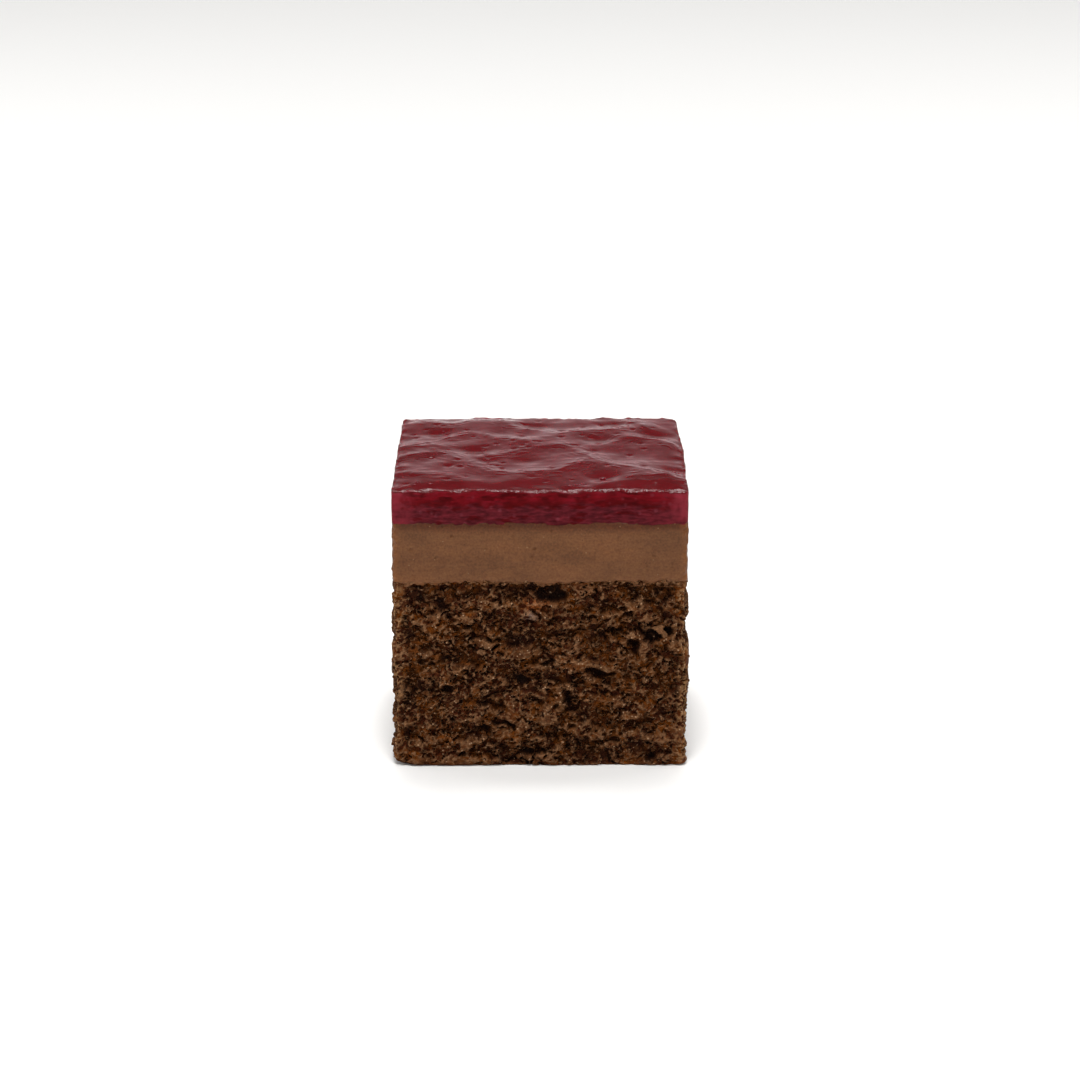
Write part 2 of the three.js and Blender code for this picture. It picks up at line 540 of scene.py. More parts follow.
def make_piece(
    name: str,
    points: Array,
    patches: list[Patch],
    finishes: list[Material],
    marks: dict[str, Array] | None = None,
) -> Piece:
    """Puts a surface into a mesh and makes it ride on the cake.

    Args:
        name: Name of the piece.
        points: Points in millimetres, n by 3.
        patches: Faces of the surface.
        finishes: Materials that the patches number.
        marks: Values at each point that the materials read, by name.

    Returns:
        The piece, at the origin.
    """
    mesh = bpy.data.meshes.new(name)
    corners = np.concatenate([patch.corners for patch in patches])
    sizes = np.concatenate([patch.sizes for patch in patches])
    faces = [len(patch.sizes) for patch in patches]
    mesh.vertices.add(len(points))
    mesh.vertices.foreach_set("co", (points * MM).astype(np.float32).ravel())
    mesh.loops.add(len(corners))
    mesh.loops.foreach_set("vertex_index", corners.astype(np.int32))
    mesh.polygons.add(len(sizes))
    mesh.polygons.foreach_set("loop_start", (np.cumsum(sizes) - sizes).astype(np.int32))
    mesh.polygons.foreach_set("use_smooth", np.repeat([patch.smooth for patch in patches], faces))
    numbers = np.repeat([patch.finish for patch in patches], faces)
    mesh.polygons.foreach_set("material_index", numbers.astype(np.int32))
    mesh.update(calc_edges=True)
    bake_map = mesh.uv_layers.new(name=BAKE_MAP)
    places = np.concatenate([patch.places for patch in patches])
    bake_map.uv.foreach_set("vector", places.astype(np.float32).ravel())
    for mark, values in (marks or {}).items():
        layer = mesh.attributes.new(mark, "FLOAT", "POINT")
        layer.data.foreach_set("value", values.astype(np.float32).ravel())
    for finish in finishes:
        mesh.materials.append(finish)
    piece = bpy.data.objects.new(name, mesh)
    bpy.context.scene.collection.objects.link(piece)
    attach(piece, BODY)
    return piece


def add(tree: Tree, kind: str, inputs: dict | tuple = (), **settings: object) -> bpy.types.Node:
    """Adds a shader node, with its options set and its sockets filled.

    Args:
        tree: Tree that gets the node.
        kind: Blender's name of the node, without its prefix.
        inputs: Value or linked socket for each input, by name or number, or in the sockets' own order.
        settings: The node's own options.

    Returns:
        The node.
    """
    made = tree.nodes.new("ShaderNode" + kind)
    for option, value in settings.items():
        setattr(made, option, value)
    for socket, value in inputs.items() if isinstance(inputs, dict) else enumerate(inputs):
        if isinstance(value, Socket):
            tree.links.new(value, made.inputs[socket])
        else:
            made.inputs[socket].default_value = value
    return made


def new_material(name: str) -> tuple[Material, Tree]:
    """A material with an empty node tree.

    Args:
        name: Name of the material.

    Returns:
        The material and its tree.
    """
    material = bpy.data.materials.new(name)
    material.use_nodes = True
    material.node_tree.nodes.clear()
    return material, material.node_tree


def finer(size: float) -> float:
    """Scale of a texture on Object coordinates whose features measure a size in millimetres."""
    return 1.0 / (size * MM)


@dataclass(frozen=True)
class Coat:
    """A colour that lies over what is below it."""

    share: object  # how much of it shows, a number or a socket
    colour: object  # the colour, four numbers or a socket
    way: Mixing = Mixing.OVER  # how it acts on what is below


def coated(tree: Tree, ground: object, coats: list[Coat]) -> Socket:
    """Colour of a ground under coats that are laid one after another.

    Args:
        tree: Tree that gets the nodes.
        ground: Colour of the ground, four numbers or a socket.
        coats: The coats, lowest first.

    Returns:
        The colour that shows.
    """
    share, under, over, result = 0, 6, 7, 2  # the mixing node's sockets for colours
    for coat in coats:
        colours = {share: coat.share, under: ground, over: coat.colour}
        mix = add(tree, "Mix", colours, data_type="RGBA", blend_type=coat.way.value)
        ground = mix.outputs[result]
    return ground


@dataclass(frozen=True)
class CrumbFinish:
    """Baked chocolate sponge, cut and torn.

    Crests of batter look matte and tan, painted paler than the walls, partly as painted light on what stands
    out, with pale torn strands along them that carry a painted highlight, painted glints for moist specks
    and painted rim light near the upright edges. Just behind the cut the walls are a warm brown, with a
    painted orange glow where light comes through them, and painted near-black shade in the bubbles behind
    them.
    """

    crest: str = "#512d13"
    pale: str = "#5c3a20"
    wall: str = "#441a05"
    # painted glow of light coming through thin walls
    ember: str = "#6c3605"
    # painted shade: near-black laid in the pits and bubbles behind the cut
    shade_in_pits: str = "#0e0300"
    # pale torn strands, with a painted highlight on the thin walls
    strand: str = "#845f42"
    # painted rim light: paler colour near the upright edges, where light from the sides falls
    rim_light_colour: str = "#9c754f"
    rust: str = "#85461d"
    ash: str = "#735d52"
    # painted highlight colour of the glints
    glint: str = "#c8a382"
    sand: float = 0.18  # size of the finest grit
    granule: float = 0.34  # size of the rounded granules of crumb
    warp: float = 0.4  # how far the grit shifts the granules' edges
    mottle: float = 1.8  # size of the warmer and paler areas
    thin: float = 2.2  # size of the areas whose walls let light through
    speck: float = 0.6  # spacing of the painted glints that stand for moist specks

    def material(self) -> Material:
        """Builds the finish from the surface's marks, three sizes of noise, granules and painted glints.

        Returns:
            The material.
        """
        material, tree = new_material("baked_chocolate_sponge")
        place = add(tree, "TexCoord").outputs["Object"]
        marks = {name: add(tree, "Attribute", attribute_name=name).outputs["Fac"] for name in CRUMB_MARKS}
        mottle, sand, thin = (
            add(tree, "TexNoise", {"Vector": place, "Scale": finer(size), "Detail": detail}).outputs
            for size, detail in ((self.mottle, 4.0), (self.sand, 3.0), (self.thin, 3.0))
        )
        speck = add(tree, "TexVoronoi", {"Vector": place, "Scale": finer(self.speck)})
        warmth = add(tree, "MapRange", (mottle["Fac"], 0.4, 0.64, 0.0, 1.0)).outputs[0]
        # painted orange glow where light comes through thin walls
        through = add(tree, "MapRange", (thin["Fac"], 0.46, 0.6, 0.0, 1.0)).outputs[0]
        glow = add(tree, "MapRange", (thin["Fac"], 0.5, 0.7, 0.0, 0.5)).outputs[0]
        shifted = coated(tree, place, [Coat(self.warp * MM, sand["Color"], Mixing.ADD)])
        cells = add(tree, "TexVoronoi", {"Vector": shifted, "Scale": finer(self.granule)})
        granules = cells.outputs["Distance"]
        grit = add(tree, "MapRange", (sand["Fac"], 0.3, 0.7, 0.82, 1.18)).outputs[0]
        # painted shade in the creases between granules and painted light on their middles
        crease_shade = add(tree, "MapRange", (granules, 0.2, 0.8, 1.14, 0.68)).outputs[0]
        # painted glints: pale specks on the crests that stand for moist crumb catching light
        grain = add(tree, "MapRange", (speck.outputs["Distance"], 0.1, 0.2, 0.6, 0.0)).outputs[0]
        glint = add(tree, "Math", (grain, marks["crest"]), operation="MULTIPLY").outputs[0]
        crest_coats = [
            Coat(warmth, linear(self.pale)),
            Coat(marks["rust"], linear(self.rust)),
            Coat(marks["ash"], linear(self.ash)),
            Coat(glow, linear(self.ember)),
        ]
        coats = [
            Coat(through, linear(self.ember)),
            # crests painted paler than the walls, partly drier batter and partly painted light on what stands
            # out
            Coat(marks["crest"], coated(tree, linear(self.crest), crest_coats)),
            # pale strands, partly a painted highlight on the thin walls
            Coat(marks["strand"], linear(self.strand)),
            # painted rim light near the upright edges
            Coat(marks["painted_rim_light"], linear(self.rim_light_colour)),
            # painted shade, darkest in the deepest pits
            Coat(marks["pit_shade"], linear(self.shade_in_pits)),
            Coat(1.0, grit, Mixing.MULTIPLY),
            Coat(1.0, crease_shade, Mixing.MULTIPLY),
            Coat(glint, linear(self.glint)),
        ]
        colour = coated(tree, linear(self.wall), coats)
        gloss = add(tree, "MapRange", (sand["Fac"], 0.55, 0.7, 0.75, 0.3)).outputs[0]
        fine = add(tree, "Bump", {"Height": sand["Fac"], "Strength": 0.5, "Distance": 0.05 * MM})
        torn_edges = {"Height": marks["lift"], "Normal": fine.outputs["Normal"]}
        edges = add(tree, "Bump", {**torn_edges, "Strength": 1.0, "Distance": 1.0 * MM})
        domes = add(tree, "MapRange", (granules, 0.0, 1.0, 1.0, 0.0)).outputs[0]
        rounds = {"Height": domes, "Normal": edges.outputs["Normal"]}
        bump = add(tree, "Bump", {**rounds, "Strength": 0.6, "Distance": 0.2 * MM})
        surface = {
            "Base Color": colour, "Roughness": gloss, "Normal": bump.outputs["Normal"],
            "IOR": 1.4, "Specular IOR Level": 0.1,
        }
        shader = add(tree, "BsdfPrincipled", surface)
        add(tree, "OutputMaterial", {"Surface": shader.outputs["BSDF"]})
        return material


@dataclass(frozen=True)
class MousseFinish:
    """Set chocolate mousse, sliced by a wet knife.

    Dense and smooth, so it has a satin sheen, with fine level drag lines from the blade, pale specks of
    fat, a few open bubbles and dark pricks of painted shade. It is darker where it takes colour from the
    jelly, and its upright edges are painted warmer and paler as light that comes through them.
    """

    body: str = "#694327"
    shade: str = "#5b371e"
    stained: str = "#4a220b"
    # painted light: warmer, paler colour along the upright edges
    edge: str = "#7f4d29"
    speck: str = "#916d4f"
    # painted shade: dark dots that stand for tiny pits
    pinhole_shade: str = "#3d2413"
    line: float = 0.22  # height of a drag line
    drag: float = 5.0  # length of a drag line over its height
    cloud: float = 2.4  # height of the darker clouds
    spread: float = 0.4  # height of a cloud over its length
    grain: float = 0.24  # size of the grain
    spacing: float = 0.5  # spacing of the specks

    def material(self) -> Material:
        """Builds the finish from grain, short drag lines, clouds, specks, stain and painted light at its
        edges.

        Returns:
            The material.
        """
        material, tree = new_material("set_chocolate_mousse")
        place = add(tree, "TexCoord").outputs["Object"]
        level, wide = (
            add(tree, "Mapping", {"Vector": place, "Scale": (flat, flat, 1.0)}).outputs[0]
            for flat in (1 / self.drag, self.spread)
        )
        kinds = ((level, self.line, 2.0), (wide, self.cloud, 6.0), (place, self.grain, 3.0))
        lines, cloud, grain = (
            add(tree, "TexNoise", {"Vector": where, "Scale": finer(size), "Detail": detail}).outputs["Fac"]
            for where, size, detail in kinds
        )
        specks = add(tree, "TexVoronoi", {"Vector": place, "Scale": finer(self.spacing)}).outputs
        chance = add(tree, "SeparateColor", (specks["Color"],)).outputs["Red"]
        stain, edge = (
            add(tree, "Attribute", attribute_name=name).outputs["Fac"] for name in ("stain", "edge")
        )
        dragged = add(tree, "MapRange", (lines, 0.35, 0.65, 0.0, 0.45)).outputs[0]
        uneven = add(tree, "Math", (cloud, stain), operation="ADD").outputs[0]
        soaked = add(tree, "MapRange", (uneven, 0.6, 1.35, 0.0, 0.85)).outputs[0]
        dot = add(tree, "MapRange", (specks["Distance"], 0.1, 0.22, 0.6, 0.0)).outputs[0]
        pale = add(tree, "MapRange", (chance, 0.84, 0.88, 0.0, 0.8)).outputs[0]
        # painted shade of tiny pits, dotted at random
        dark = add(tree, "MapRange", (chance, 0.1, 0.15, 1.0, 0.0)).outputs[0]
        fat, pinned = (
            add(tree, "Math", (dot, chosen), operation="MULTIPLY").outputs[0] for chosen in (pale, dark)
        )
        shade = add(tree, "MapRange", (cloud, 0.3, 0.7, 0.82, 1.18)).outputs[0]
        grit = add(tree, "MapRange", (grain, 0.3, 0.7, 0.77, 1.23)).outputs[0]
        coats = [
            Coat(dragged, linear(self.shade)),
            Coat(soaked, linear(self.stained)),
            # painted light along the upright edges
            Coat(edge, linear(self.edge)),
            Coat(fat, linear(self.speck)),
            Coat(pinned, linear(self.pinhole_shade)),
            Coat(1.0, shade, Mixing.MULTIPLY),
            Coat(1.0, grit, Mixing.MULTIPLY),
        ]
        colour = coated(tree, linear(self.body), coats)
        bump = add(tree, "Bump", {"Height": grain, "Strength": 0.25, "Distance": 0.03 * MM})
        surface = {
            "Base Color": colour, "Roughness": 0.5, "Normal": bump.outputs["Normal"],
            "IOR": 1.4, "Specular IOR Level": 0.25,
            "Subsurface Weight": 0.1, "Subsurface Radius": (1.0, 0.55, 0.35), "Subsurface Scale": 0.4 * MM,
        }
        shader = add(tree, "BsdfPrincipled", surface)
        add(tree, "OutputMaterial", {"Surface": shader.outputs["BSDF"]})
        return material


@dataclass(frozen=True)
class JellyTopFinish:
    """Berry jelly with a set, wet skin.

    A gel full of red juice and pulp: clear and bright red where it dips, with a painted glow where light
    enters the far side of its hills, and a smooth skin that carries pale reflections along every ridge.
    """

    clear: str = "#590309"
    murky: str = "#4c0407"
    pulp: str = "#5a0a10"
    # painted glow: paler red on slopes that face the back, as if light entered them there
    milky_glow: str = "#721c27"
    patch: float = 3.0  # size of the clouds of pulp
    wrinkle: float = 0.4  # size of the fine wrinkle
    bead: float = 0.42  # size of the beads

    def material(self) -> Material:
        """Builds the finish from pulp clouds, dips, painted light on back slopes, a fine wrinkle and rim
        beads.

        Returns:
            The material.
        """
        material, tree = new_material("set_berry_jelly_skin")
        place = add(tree, "TexCoord").outputs["Object"]
        # swell: painted light on slopes that face the back
        dip, swell, rim = (
            add(tree, "Attribute", attribute_name=name).outputs["Fac"] for name in ("dip", "swell", "rim")
        )
        pulp, wrinkle, bead = (
            add(tree, "TexNoise", {"Vector": place, "Scale": finer(size), "Detail": detail}).outputs["Fac"]
            for size, detail in ((self.patch, 4.0), (self.wrinkle, 3.0), (self.bead, 2.0))
        )
        cloudy = add(tree, "MapRange", (pulp, 0.3, 0.6, 0.4, 1.0)).outputs[0]
        coats = [
            Coat(cloudy, linear(self.pulp)),
            Coat(swell, linear(self.milky_glow)),
            Coat(dip, linear(self.clear)),
        ]
        colour = coated(tree, linear(self.murky), coats)
        smooth = add(tree, "MapRange", (dip, 0.0, 0.6, 0.26, 0.1)).outputs[0]
        skin = add(tree, "Bump", {"Height": wrinkle, "Strength": smooth, "Distance": 0.04 * MM})
        beads = {"Height": bead, "Strength": rim, "Normal": skin.outputs["Normal"]}
        bump = add(tree, "Bump", {**beads, "Distance": 0.14 * MM})
        surface = {
            "Base Color": colour, "Roughness": 0.13, "Normal": bump.outputs["Normal"],
            "IOR": 1.36,
            "Subsurface Weight": 0.25, "Subsurface Radius": (1.0, 0.12, 0.12), "Subsurface Scale": 1.0 * MM,
        }
        shader = add(tree, "BsdfPrincipled", surface)
        add(tree, "OutputMaterial", {"Surface": shader.outputs["BSDF"]})
        return material


@dataclass(frozen=True)
class JellyCutFinish:
    """Berry jelly where the knife cut it.

    The upper half shows clear deep red with upright streaks. Below, the blade dragged a milky film of
    mousse up over it, with dark clear spots between. Pale flecks are painted highlights, and light that comes
    round the upright edges is painted as a glow.
    """

    deep: str = "#470305"
    bright: str = "#690a14"
    # partly a painted glow: pale streaks, more of them near the upright edges
    milky_glow: str = "#7b1c2b"
    film: str = "#53161d"
    spot: str = "#450205"
    # painted highlight colour of the pale flecks
    highlight_fleck: str = "#8a4450"
    edge: str = "#822a34"
    blotch: float = 2.4  # size of the clearer and deeper blotches
    streak_width: float = 1.2  # width and height of the streaks under the rim
    streak_height: float = 1.2
    film_edge: float = 2.2  # length of the lobes at the film's upper edge
    spot_length: float = 2.4  # length and height of the clear spots
    spot_height: float = 0.75
    scratch_length: float = 1.0  # length and height of the blade's scratches
    scratch_height: float = 0.3
    fleck_spacing: float = 1.3  # spacing of the pale flecks of painted highlight
    drift: float = 6.0  # size of the areas with streaks

    def material(self) -> Material:
        """Builds the finish from blotches, streaks, spots, painted highlights, the film and painted edge
        glow.

        Returns:
            The material.
        """
        material, tree = new_material("cut_berry_jelly")
        place = add(tree, "TexCoord").outputs["Object"]
        film, edge = (
            add(tree, "Attribute", attribute_name=name).outputs["Fac"] for name in ("film", "edge")
        )
        tall = self.streak_width / self.streak_height
        flat = self.spot_height / self.spot_length
        drawn = self.scratch_height / self.scratch_length
        upright, level, scratched = (
            add(tree, "Mapping", {"Vector": place, "Scale": scale}).outputs[0]
            for scale in ((1.0, 1.0, tall), (flat, flat, 1.0), (drawn, drawn, 1.0))
        )
        kinds = (
            (upright, self.streak_width, 3.0),
            (place, self.blotch, 5.0),
            (level, self.film_edge * flat, 6.0),
            (level, self.spot_height, 3.0),
            (scratched, self.scratch_height, 4.0),
            (place, self.drift, 2.0),
        )
        streaks, blotches, lobes, spots, scratches, drift = (
            add(tree, "TexNoise", {"Vector": where, "Scale": finer(size), "Detail": detail}).outputs["Fac"]
            for where, size, detail in kinds
        )
        flecks = add(tree, "TexVoronoi", {"Vector": place, "Scale": finer(self.fleck_spacing)}).outputs
        uneven = add(tree, "Math", (blotches, film), operation="SUBTRACT").outputs[0]
        bright = add(tree, "MapRange", (uneven, 0.0, 0.6, 0.0, 1.0)).outputs[0]
        ends = add(tree, "Math", (edge, drift), operation="ADD").outputs[0]
        high = add(tree, "MapRange", (ends, 0.4, 0.8, 0.0, 0.9)).outputs[0]
        # milky streaks, more near the upright edges as a painted glow of light coming round them
        milky_streak = add(tree, "MapRange", (streaks, 0.45, 0.72, 0.0, 1.0)).outputs[0]
        streaked = add(tree, "Math", (milky_streak, high), operation="MULTIPLY").outputs[0]
        ragged = add(tree, "Math", (lobes, 2.0, film), operation="MULTIPLY_ADD").outputs[0]
        milky = add(tree, "MapRange", (ragged, 1.35, 1.6, 0.0, 1.0)).outputs[0]
        clear = add(tree, "MapRange", (spots, 0.54, 0.62, 0.0, 0.9)).outputs[0]
        # painted highlights: pale flecks scattered over the cut
        highlight_chip = add(tree, "MapRange", (flecks["Distance"], 0.0, 0.25, 0.3, 0.0)).outputs[0]
        rubbed = add(tree, "MapRange", (scratches, 0.3, 0.7, 0.5, 1.48)).outputs[0]
        rough = add(tree, "MapRange", (milky, 0.0, 1.0, 0.6, 1.0)).outputs[0]
        lit = add(tree, "MapRange", (streaks, 0.35, 0.65, 0.3, 1.8)).outputs[0]
        glowing = add(tree, "Math", (edge, lit), operation="MULTIPLY").outputs[0]
        coats = [
            Coat(bright, linear(self.bright)),
            Coat(streaked, linear(self.milky_glow)),
            Coat(milky, linear(self.film)),
            Coat(clear, linear(self.spot)),
            Coat(highlight_chip, linear(self.highlight_fleck)),
            Coat(rough, rubbed, Mixing.MULTIPLY),
            # painted glow of light coming round the upright edges
            Coat(glowing, linear(self.edge)),
        ]
        colour = coated(tree, linear(self.deep), coats)
        bump = add(tree, "Bump", {"Height": lobes, "Strength": 0.5, "Distance": 0.12 * MM})
        surface = {
            "Base Color": colour, "Roughness": 0.35, "Normal": bump.outputs["Normal"],
            "IOR": 1.36, "Specular IOR Level": 0.06,
            "Subsurface Weight": 0.12, "Subsurface Radius": (1.0, 0.12, 0.12), "Subsurface Scale": 0.6 * MM,
        }
        shader = add(tree, "BsdfPrincipled", surface)
        add(tree, "OutputMaterial", {"Surface": shader.outputs["BSDF"]})
        return material


@dataclass(frozen=True)
class Hollow:
    """A large opening in the front's crumb, by its middle, half sizes and depth."""

    x: float
    z: float
    half_length: float
    half_height: float
    depth: float


@dataclass(frozen=True)
class Density:
    """What the parts of a torn face add to the field of its crumb."""

    everywhere: float = -0.3  # on the whole face
    strand: float = 0.7  # along the thin walls between bubbles
    edge: float = 0.4  # at the upright edges
    foot: float = 0.6  # along the foot
    open_band: float = -0.5  # in the open band under the mousse
    plate: float = 1.1  # on a dense plate
    plate_calm: float = 0.6  # share of the field itself that a plate takes away


@dataclass
class Sponge:
    """The chocolate sponge: four quarters whose outer faces are torn crumb.

    The quarters meet in the cake's diagonal planes, so each is a closed solid of its own.
    """

    levels: Levels
    step: float = 0.1  # spacing of the grid
    overlap: float = 0.5  # how far it reaches up into the mousse
    tucked: float = 0.9  # how far that end draws in
    deepest: float = 2.4  # depth that hollows come close to
    proudest: float = 0.26  # how far crests come close to standing out
    rounding: float = 0.15  # blur that parts the relief into round and fine
    sharpness: float = 0.3  # share of the fine relief in the mesh, the rest being in the finish
    steep_calm: float = 0.8  # share of it that steep walls lose
    shallow: float = 1.25  # depth that the mesh comes close to
    outward: float = 0.1  # how far the whole face stands out
    foot: float = 0.45  # radius of the rounded foot
    corner_feet: Four = (1.6, 0.8, 1.0, 1.0)  # that radius at the corners
    corner_reach: float = 3.0  # distance from a corner in which the one goes over to the other
    corners: Four = (0.8, 0.8, 1.5, 1.0)  # radii of the upright edges
    turn: float = 2.0  # distance from those in which rays turn
    edge_band: float = 1.6  # width of the denser band along them, painted paler there as rim light
    held: float = 0.75  # share of the relief that the upper ends of the upright edges lose
    seed: int = 7
    lace: Lace = Lace(
        (
            Octave(along=1.1, up=0.5, inward=0.8, height=0.7),
            Octave(along=0.26, up=0.2, inward=0.24, height=0.48),
            Octave(along=0.13, up=0.11, inward=0.12, height=0.42),
            Octave(along=0.07, up=0.065, inward=0.07, height=0.22),
        )
    )
    density: Density = Density()
    # Chance shift of the rims of openings
    warp: tuple[Ripple, ...] = (Ripple(0.36, 0.6, 0.4), Ripple(0.12, 0.16, 0.13))
    edge_wander: Ripple = Ripple(0.5, 0.4, 0.6)  # chance shift of the band along the upright edges
    bubbles: tuple[Bubbles, ...] = (
        Bubbles(half_length=0.85, share=0.06, flatness=0.45, reach=1.0),
        Bubbles(half_length=0.44, share=0.17, flatness=0.7, reach=0.8),
        Bubbles(half_length=0.27, share=0.26, flatness=0.85, reach=0.6),
    )
    hollows: tuple[Hollow, ...] = (
        Hollow(1.6, 21.0, 1.2, 1.0, 2.2),
        Hollow(13.7, 16.4, 2.0, 1.2, 1.8),
        Hollow(11.0, 14.8, 1.2, 0.8, 1.6),
        Hollow(6.8, 11.2, 1.7, 0.8, 2.2),
        Hollow(-2.1, 10.2, 1.2, 0.7, 2.2),
        Hollow(-13.8, 13.2, 0.6, 0.5, 1.8),
        Hollow(-11.6, 13.0, 0.7, 0.4, 1.5),
        Hollow(-11.2, 9.5, 0.9, 0.45, 1.8),
        Hollow(-4.8, 14.3, 0.5, 0.35, 1.6),
        Hollow(-4.7, 5.6, 0.4, 0.55, 2.0),
        Hollow(8.7, 3.0, 0.8, 0.6, 1.6),
        Hollow(13.2, 1.3, 0.6, 0.4, 1.4),
        Hollow(3.6, 8.2, 0.45, 0.8, 2.0),
        Hollow(-11.9, 19.9, 1.0, 0.8, 1.6),
    )
    # Dense plates of the front, by middle and half sizes
    plates: tuple[Four, ...] = (
        (-8.7, 18.9, 1.8, 1.1),
        (-0.6, 20.0, 1.5, 0.7),
        (-1.1, 18.7, 0.9, 0.7),
        (1.5, 8.3, 2.2, 1.4),
        (-13.6, 17.0, 1.0, 0.7),
        (-3.2, 6.4, 0.4, 1.6),
    )
    # Patches of colour on the front, in the same way
    patches: tuple[tuple[str, Four], ...] = (
        ("rust", (-0.6, 20.0, 1.7, 0.8)),
        ("ash", (-1.1, 18.7, 0.9, 0.7)),
    )
    surface: Array = field(init=False)
    marks: dict[str, Array] = field(init=False)

    @property
    def strip(self) -> Strip:
        """The four sides, unrolled."""
        top = self.levels.sponge_top + self.overlap
        return Strip(self.levels.side, 0.0, top, self.step, self.corners, self.turn)

    def large_openings(self, draw: Chance) -> Array:
        """The front's own hollows, and ones of like sizes at random on the other sides.

        Args:
            draw: Source of chance.

        Returns:
            Rows as Bubbles.scatter gives them.
        """
        side, half = self.levels.side, self.levels.side / 2
        centre, inward = 0.2, 0.8  # depth of a hollow's middle and its half depth, as shares of its depth
        sizes = np.array(
            [
                (h.x + half, h.z, centre * h.depth, h.half_length, h.half_height, inward * h.depth)
                for h in self.hollows
            ]
        )
        others = []
        for turned in (Side.RIGHT, Side.BACK, Side.LEFT):
            moved = sizes.copy()
            moved[:, 0] = turned.value * side + draw.uniform(0.06, 0.94, len(sizes)) * side
            moved[:, 1] = draw.uniform(0.05, 0.95, len(sizes)) * self.levels.sponge_top
            others.append(moved)
        return np.concatenate([sizes, *others])

    def dense_crumb(self, strands: Array, crumb: Array) -> None:
        """Makes a field of crumb denser or more open, changing it in place.

        Just under the mousse it is more open. At the foot and the upright edges it is denser.

        Args:
            strands: Strength of the thin walls, rows by columns.
            crumb: The field, layers by rows by columns.
        """
        strip, top, extra = self.strip, self.levels.sponge_top, self.density
        aways = (strip.from_edge(), strip.heights)
        edge, foot = (1 - smooth_step(away, 0.3, self.edge_band) for away in aways)
        open_band = smooth_step(strip.heights, top - 2.6, top - 0.8)
        open_band = open_band * smooth_step(strip.from_edge(), 0.3, 2.5)
        plate = np.max([self.spot(*place) for place in self.plates], axis=0)
        crumb *= 1 - extra.plate_calm * plate
        crumb += extra.strand * strands * (1 - plate) + extra.everywhere
        crumb += extra.edge * edge + extra.foot * foot + extra.open_band * open_band + extra.plate * plate

    def relief(self) -> tuple[Array, Array]:
        """Depth of the torn face behind the outline and strength of its strands.

        Rays go in until they meet porous crumb. Bubbles and hollows open in it, met at places that a random
        warp shifts, and rays that cross one go on behind it. Towards the upright edges and the foot the
        relief is weaker.

        Returns:
            The depth and the strength, rows by columns.
        """
        strip, top = self.strip, self.levels.sponge_top
        grain = Grain(self.seed)
        crumb = self.lace.field(strip, grain.draw)
        strands = self.strands(grain)
        self.dense_crumb(strands, crumb)
        round_at, up_at = strip.distances, strip.heights
        for ripple in self.warp:
            round_at = round_at + ripple.over(strip.shape, self.step, grain)
        for ripple in self.warp:
            up_at = up_at + ripple.over(strip.shape, self.step, grain)
        openings = self.large_openings(grain.draw)
        sizes = [openings] + [kind.scatter(strip, grain.draw) for kind in self.bubbles]
        depth = self.lace.meet(crumb)
        passes = 2
        for _ in range(passes):
            opened = depth.copy()
            for bubbles in sizes:
                carve(opened, strip, round_at, up_at, bubbles)
            behind = self.lace.meet(crumb, opened)
            depth = np.where(opened > depth + self.lace.proud, behind, depth)
        limits = np.where(depth > 0, self.deepest, self.proudest)
        depth = limits * np.tanh(depth / limits)
        usual = 0.6 * depth.mean()
        loose = from_least(0.35, smooth_step(self.ragged_edges(), 0.0, self.edge_band))
        settled = from_least(0.3, smooth_step(strip.heights, 0.0, 0.5))
        near_top = smooth_step(strip.heights, top - 3.0, top - 0.8)
        held = near_top * (1 - smooth_step(strip.from_edge(), 0.6, 2.2))
        return (usual * (1 - loose) + depth * loose) * settled * (1 - self.held * held), strands

    def ragged_edges(self) -> Array:
        """Distance from the nearest upright edge, more or less by chance, rows by columns."""
        wander = self.edge_wander.over(self.strip.shape, self.step, Grain(self.seed + 1))
        return self.strip.from_edge() + np.abs(wander)

    def strands(self, grain: Grain) -> Array:
        """Thin walls between bubbles, from 0 to 1.

        Each size is exp(-(f/w)^2), which is large along the winding lines where a random field f is nought.

        Args:
            grain: Source of the fields.

        Returns:
            Strengths, rows by columns.
        """
        thickness = 0.27
        sizes = ((0.42, 0.26), (0.22, 0.16))  # blurs along the side and upwards
        fields = [grain.field(self.strip.shape, self.step, *size) for size in sizes]
        return np.max([np.exp(-((lines / thickness) ** 2)) for lines in fields], axis=0)

    def foot_inset(self) -> Array:
        """How far the rounded foot draws the face in: r - sqrt(r^2 - (r - z)^2) below a radius r.

        Returns:
            Depths, rows by columns.
        """
        strip = self.strip
        along = strip.distances / self.levels.side
        nearest = np.round(along).astype(int) % QUARTERS
        near = 1 - smooth_step(strip.from_edge(), 0.0, self.corner_reach)
        radius = self.foot + (np.array(self.corner_feet)[nearest] - self.foot) * near
        under = np.clip(radius - strip.heights, 0, None)
        return radius - np.sqrt(np.clip(radius**2 - under**2, 0, None))

    def spot(self, x: float, z: float, length: float, height: float) -> Array:
        """Soft ellipse on the front: exp(-r^4), with r the distance from its middle over its half size.

        Args:
            x: Middle across.
            z: Middle upwards.
            length: Half length.
            height: Half height.

        Returns:
            Strengths from 0 to 1, rows by columns.
        """
        across = (self.strip.distances - self.levels.side / 2 - x) / length
        up = (self.strip.heights - z) / height
        return np.exp(-((across**2 + up**2) ** 2))

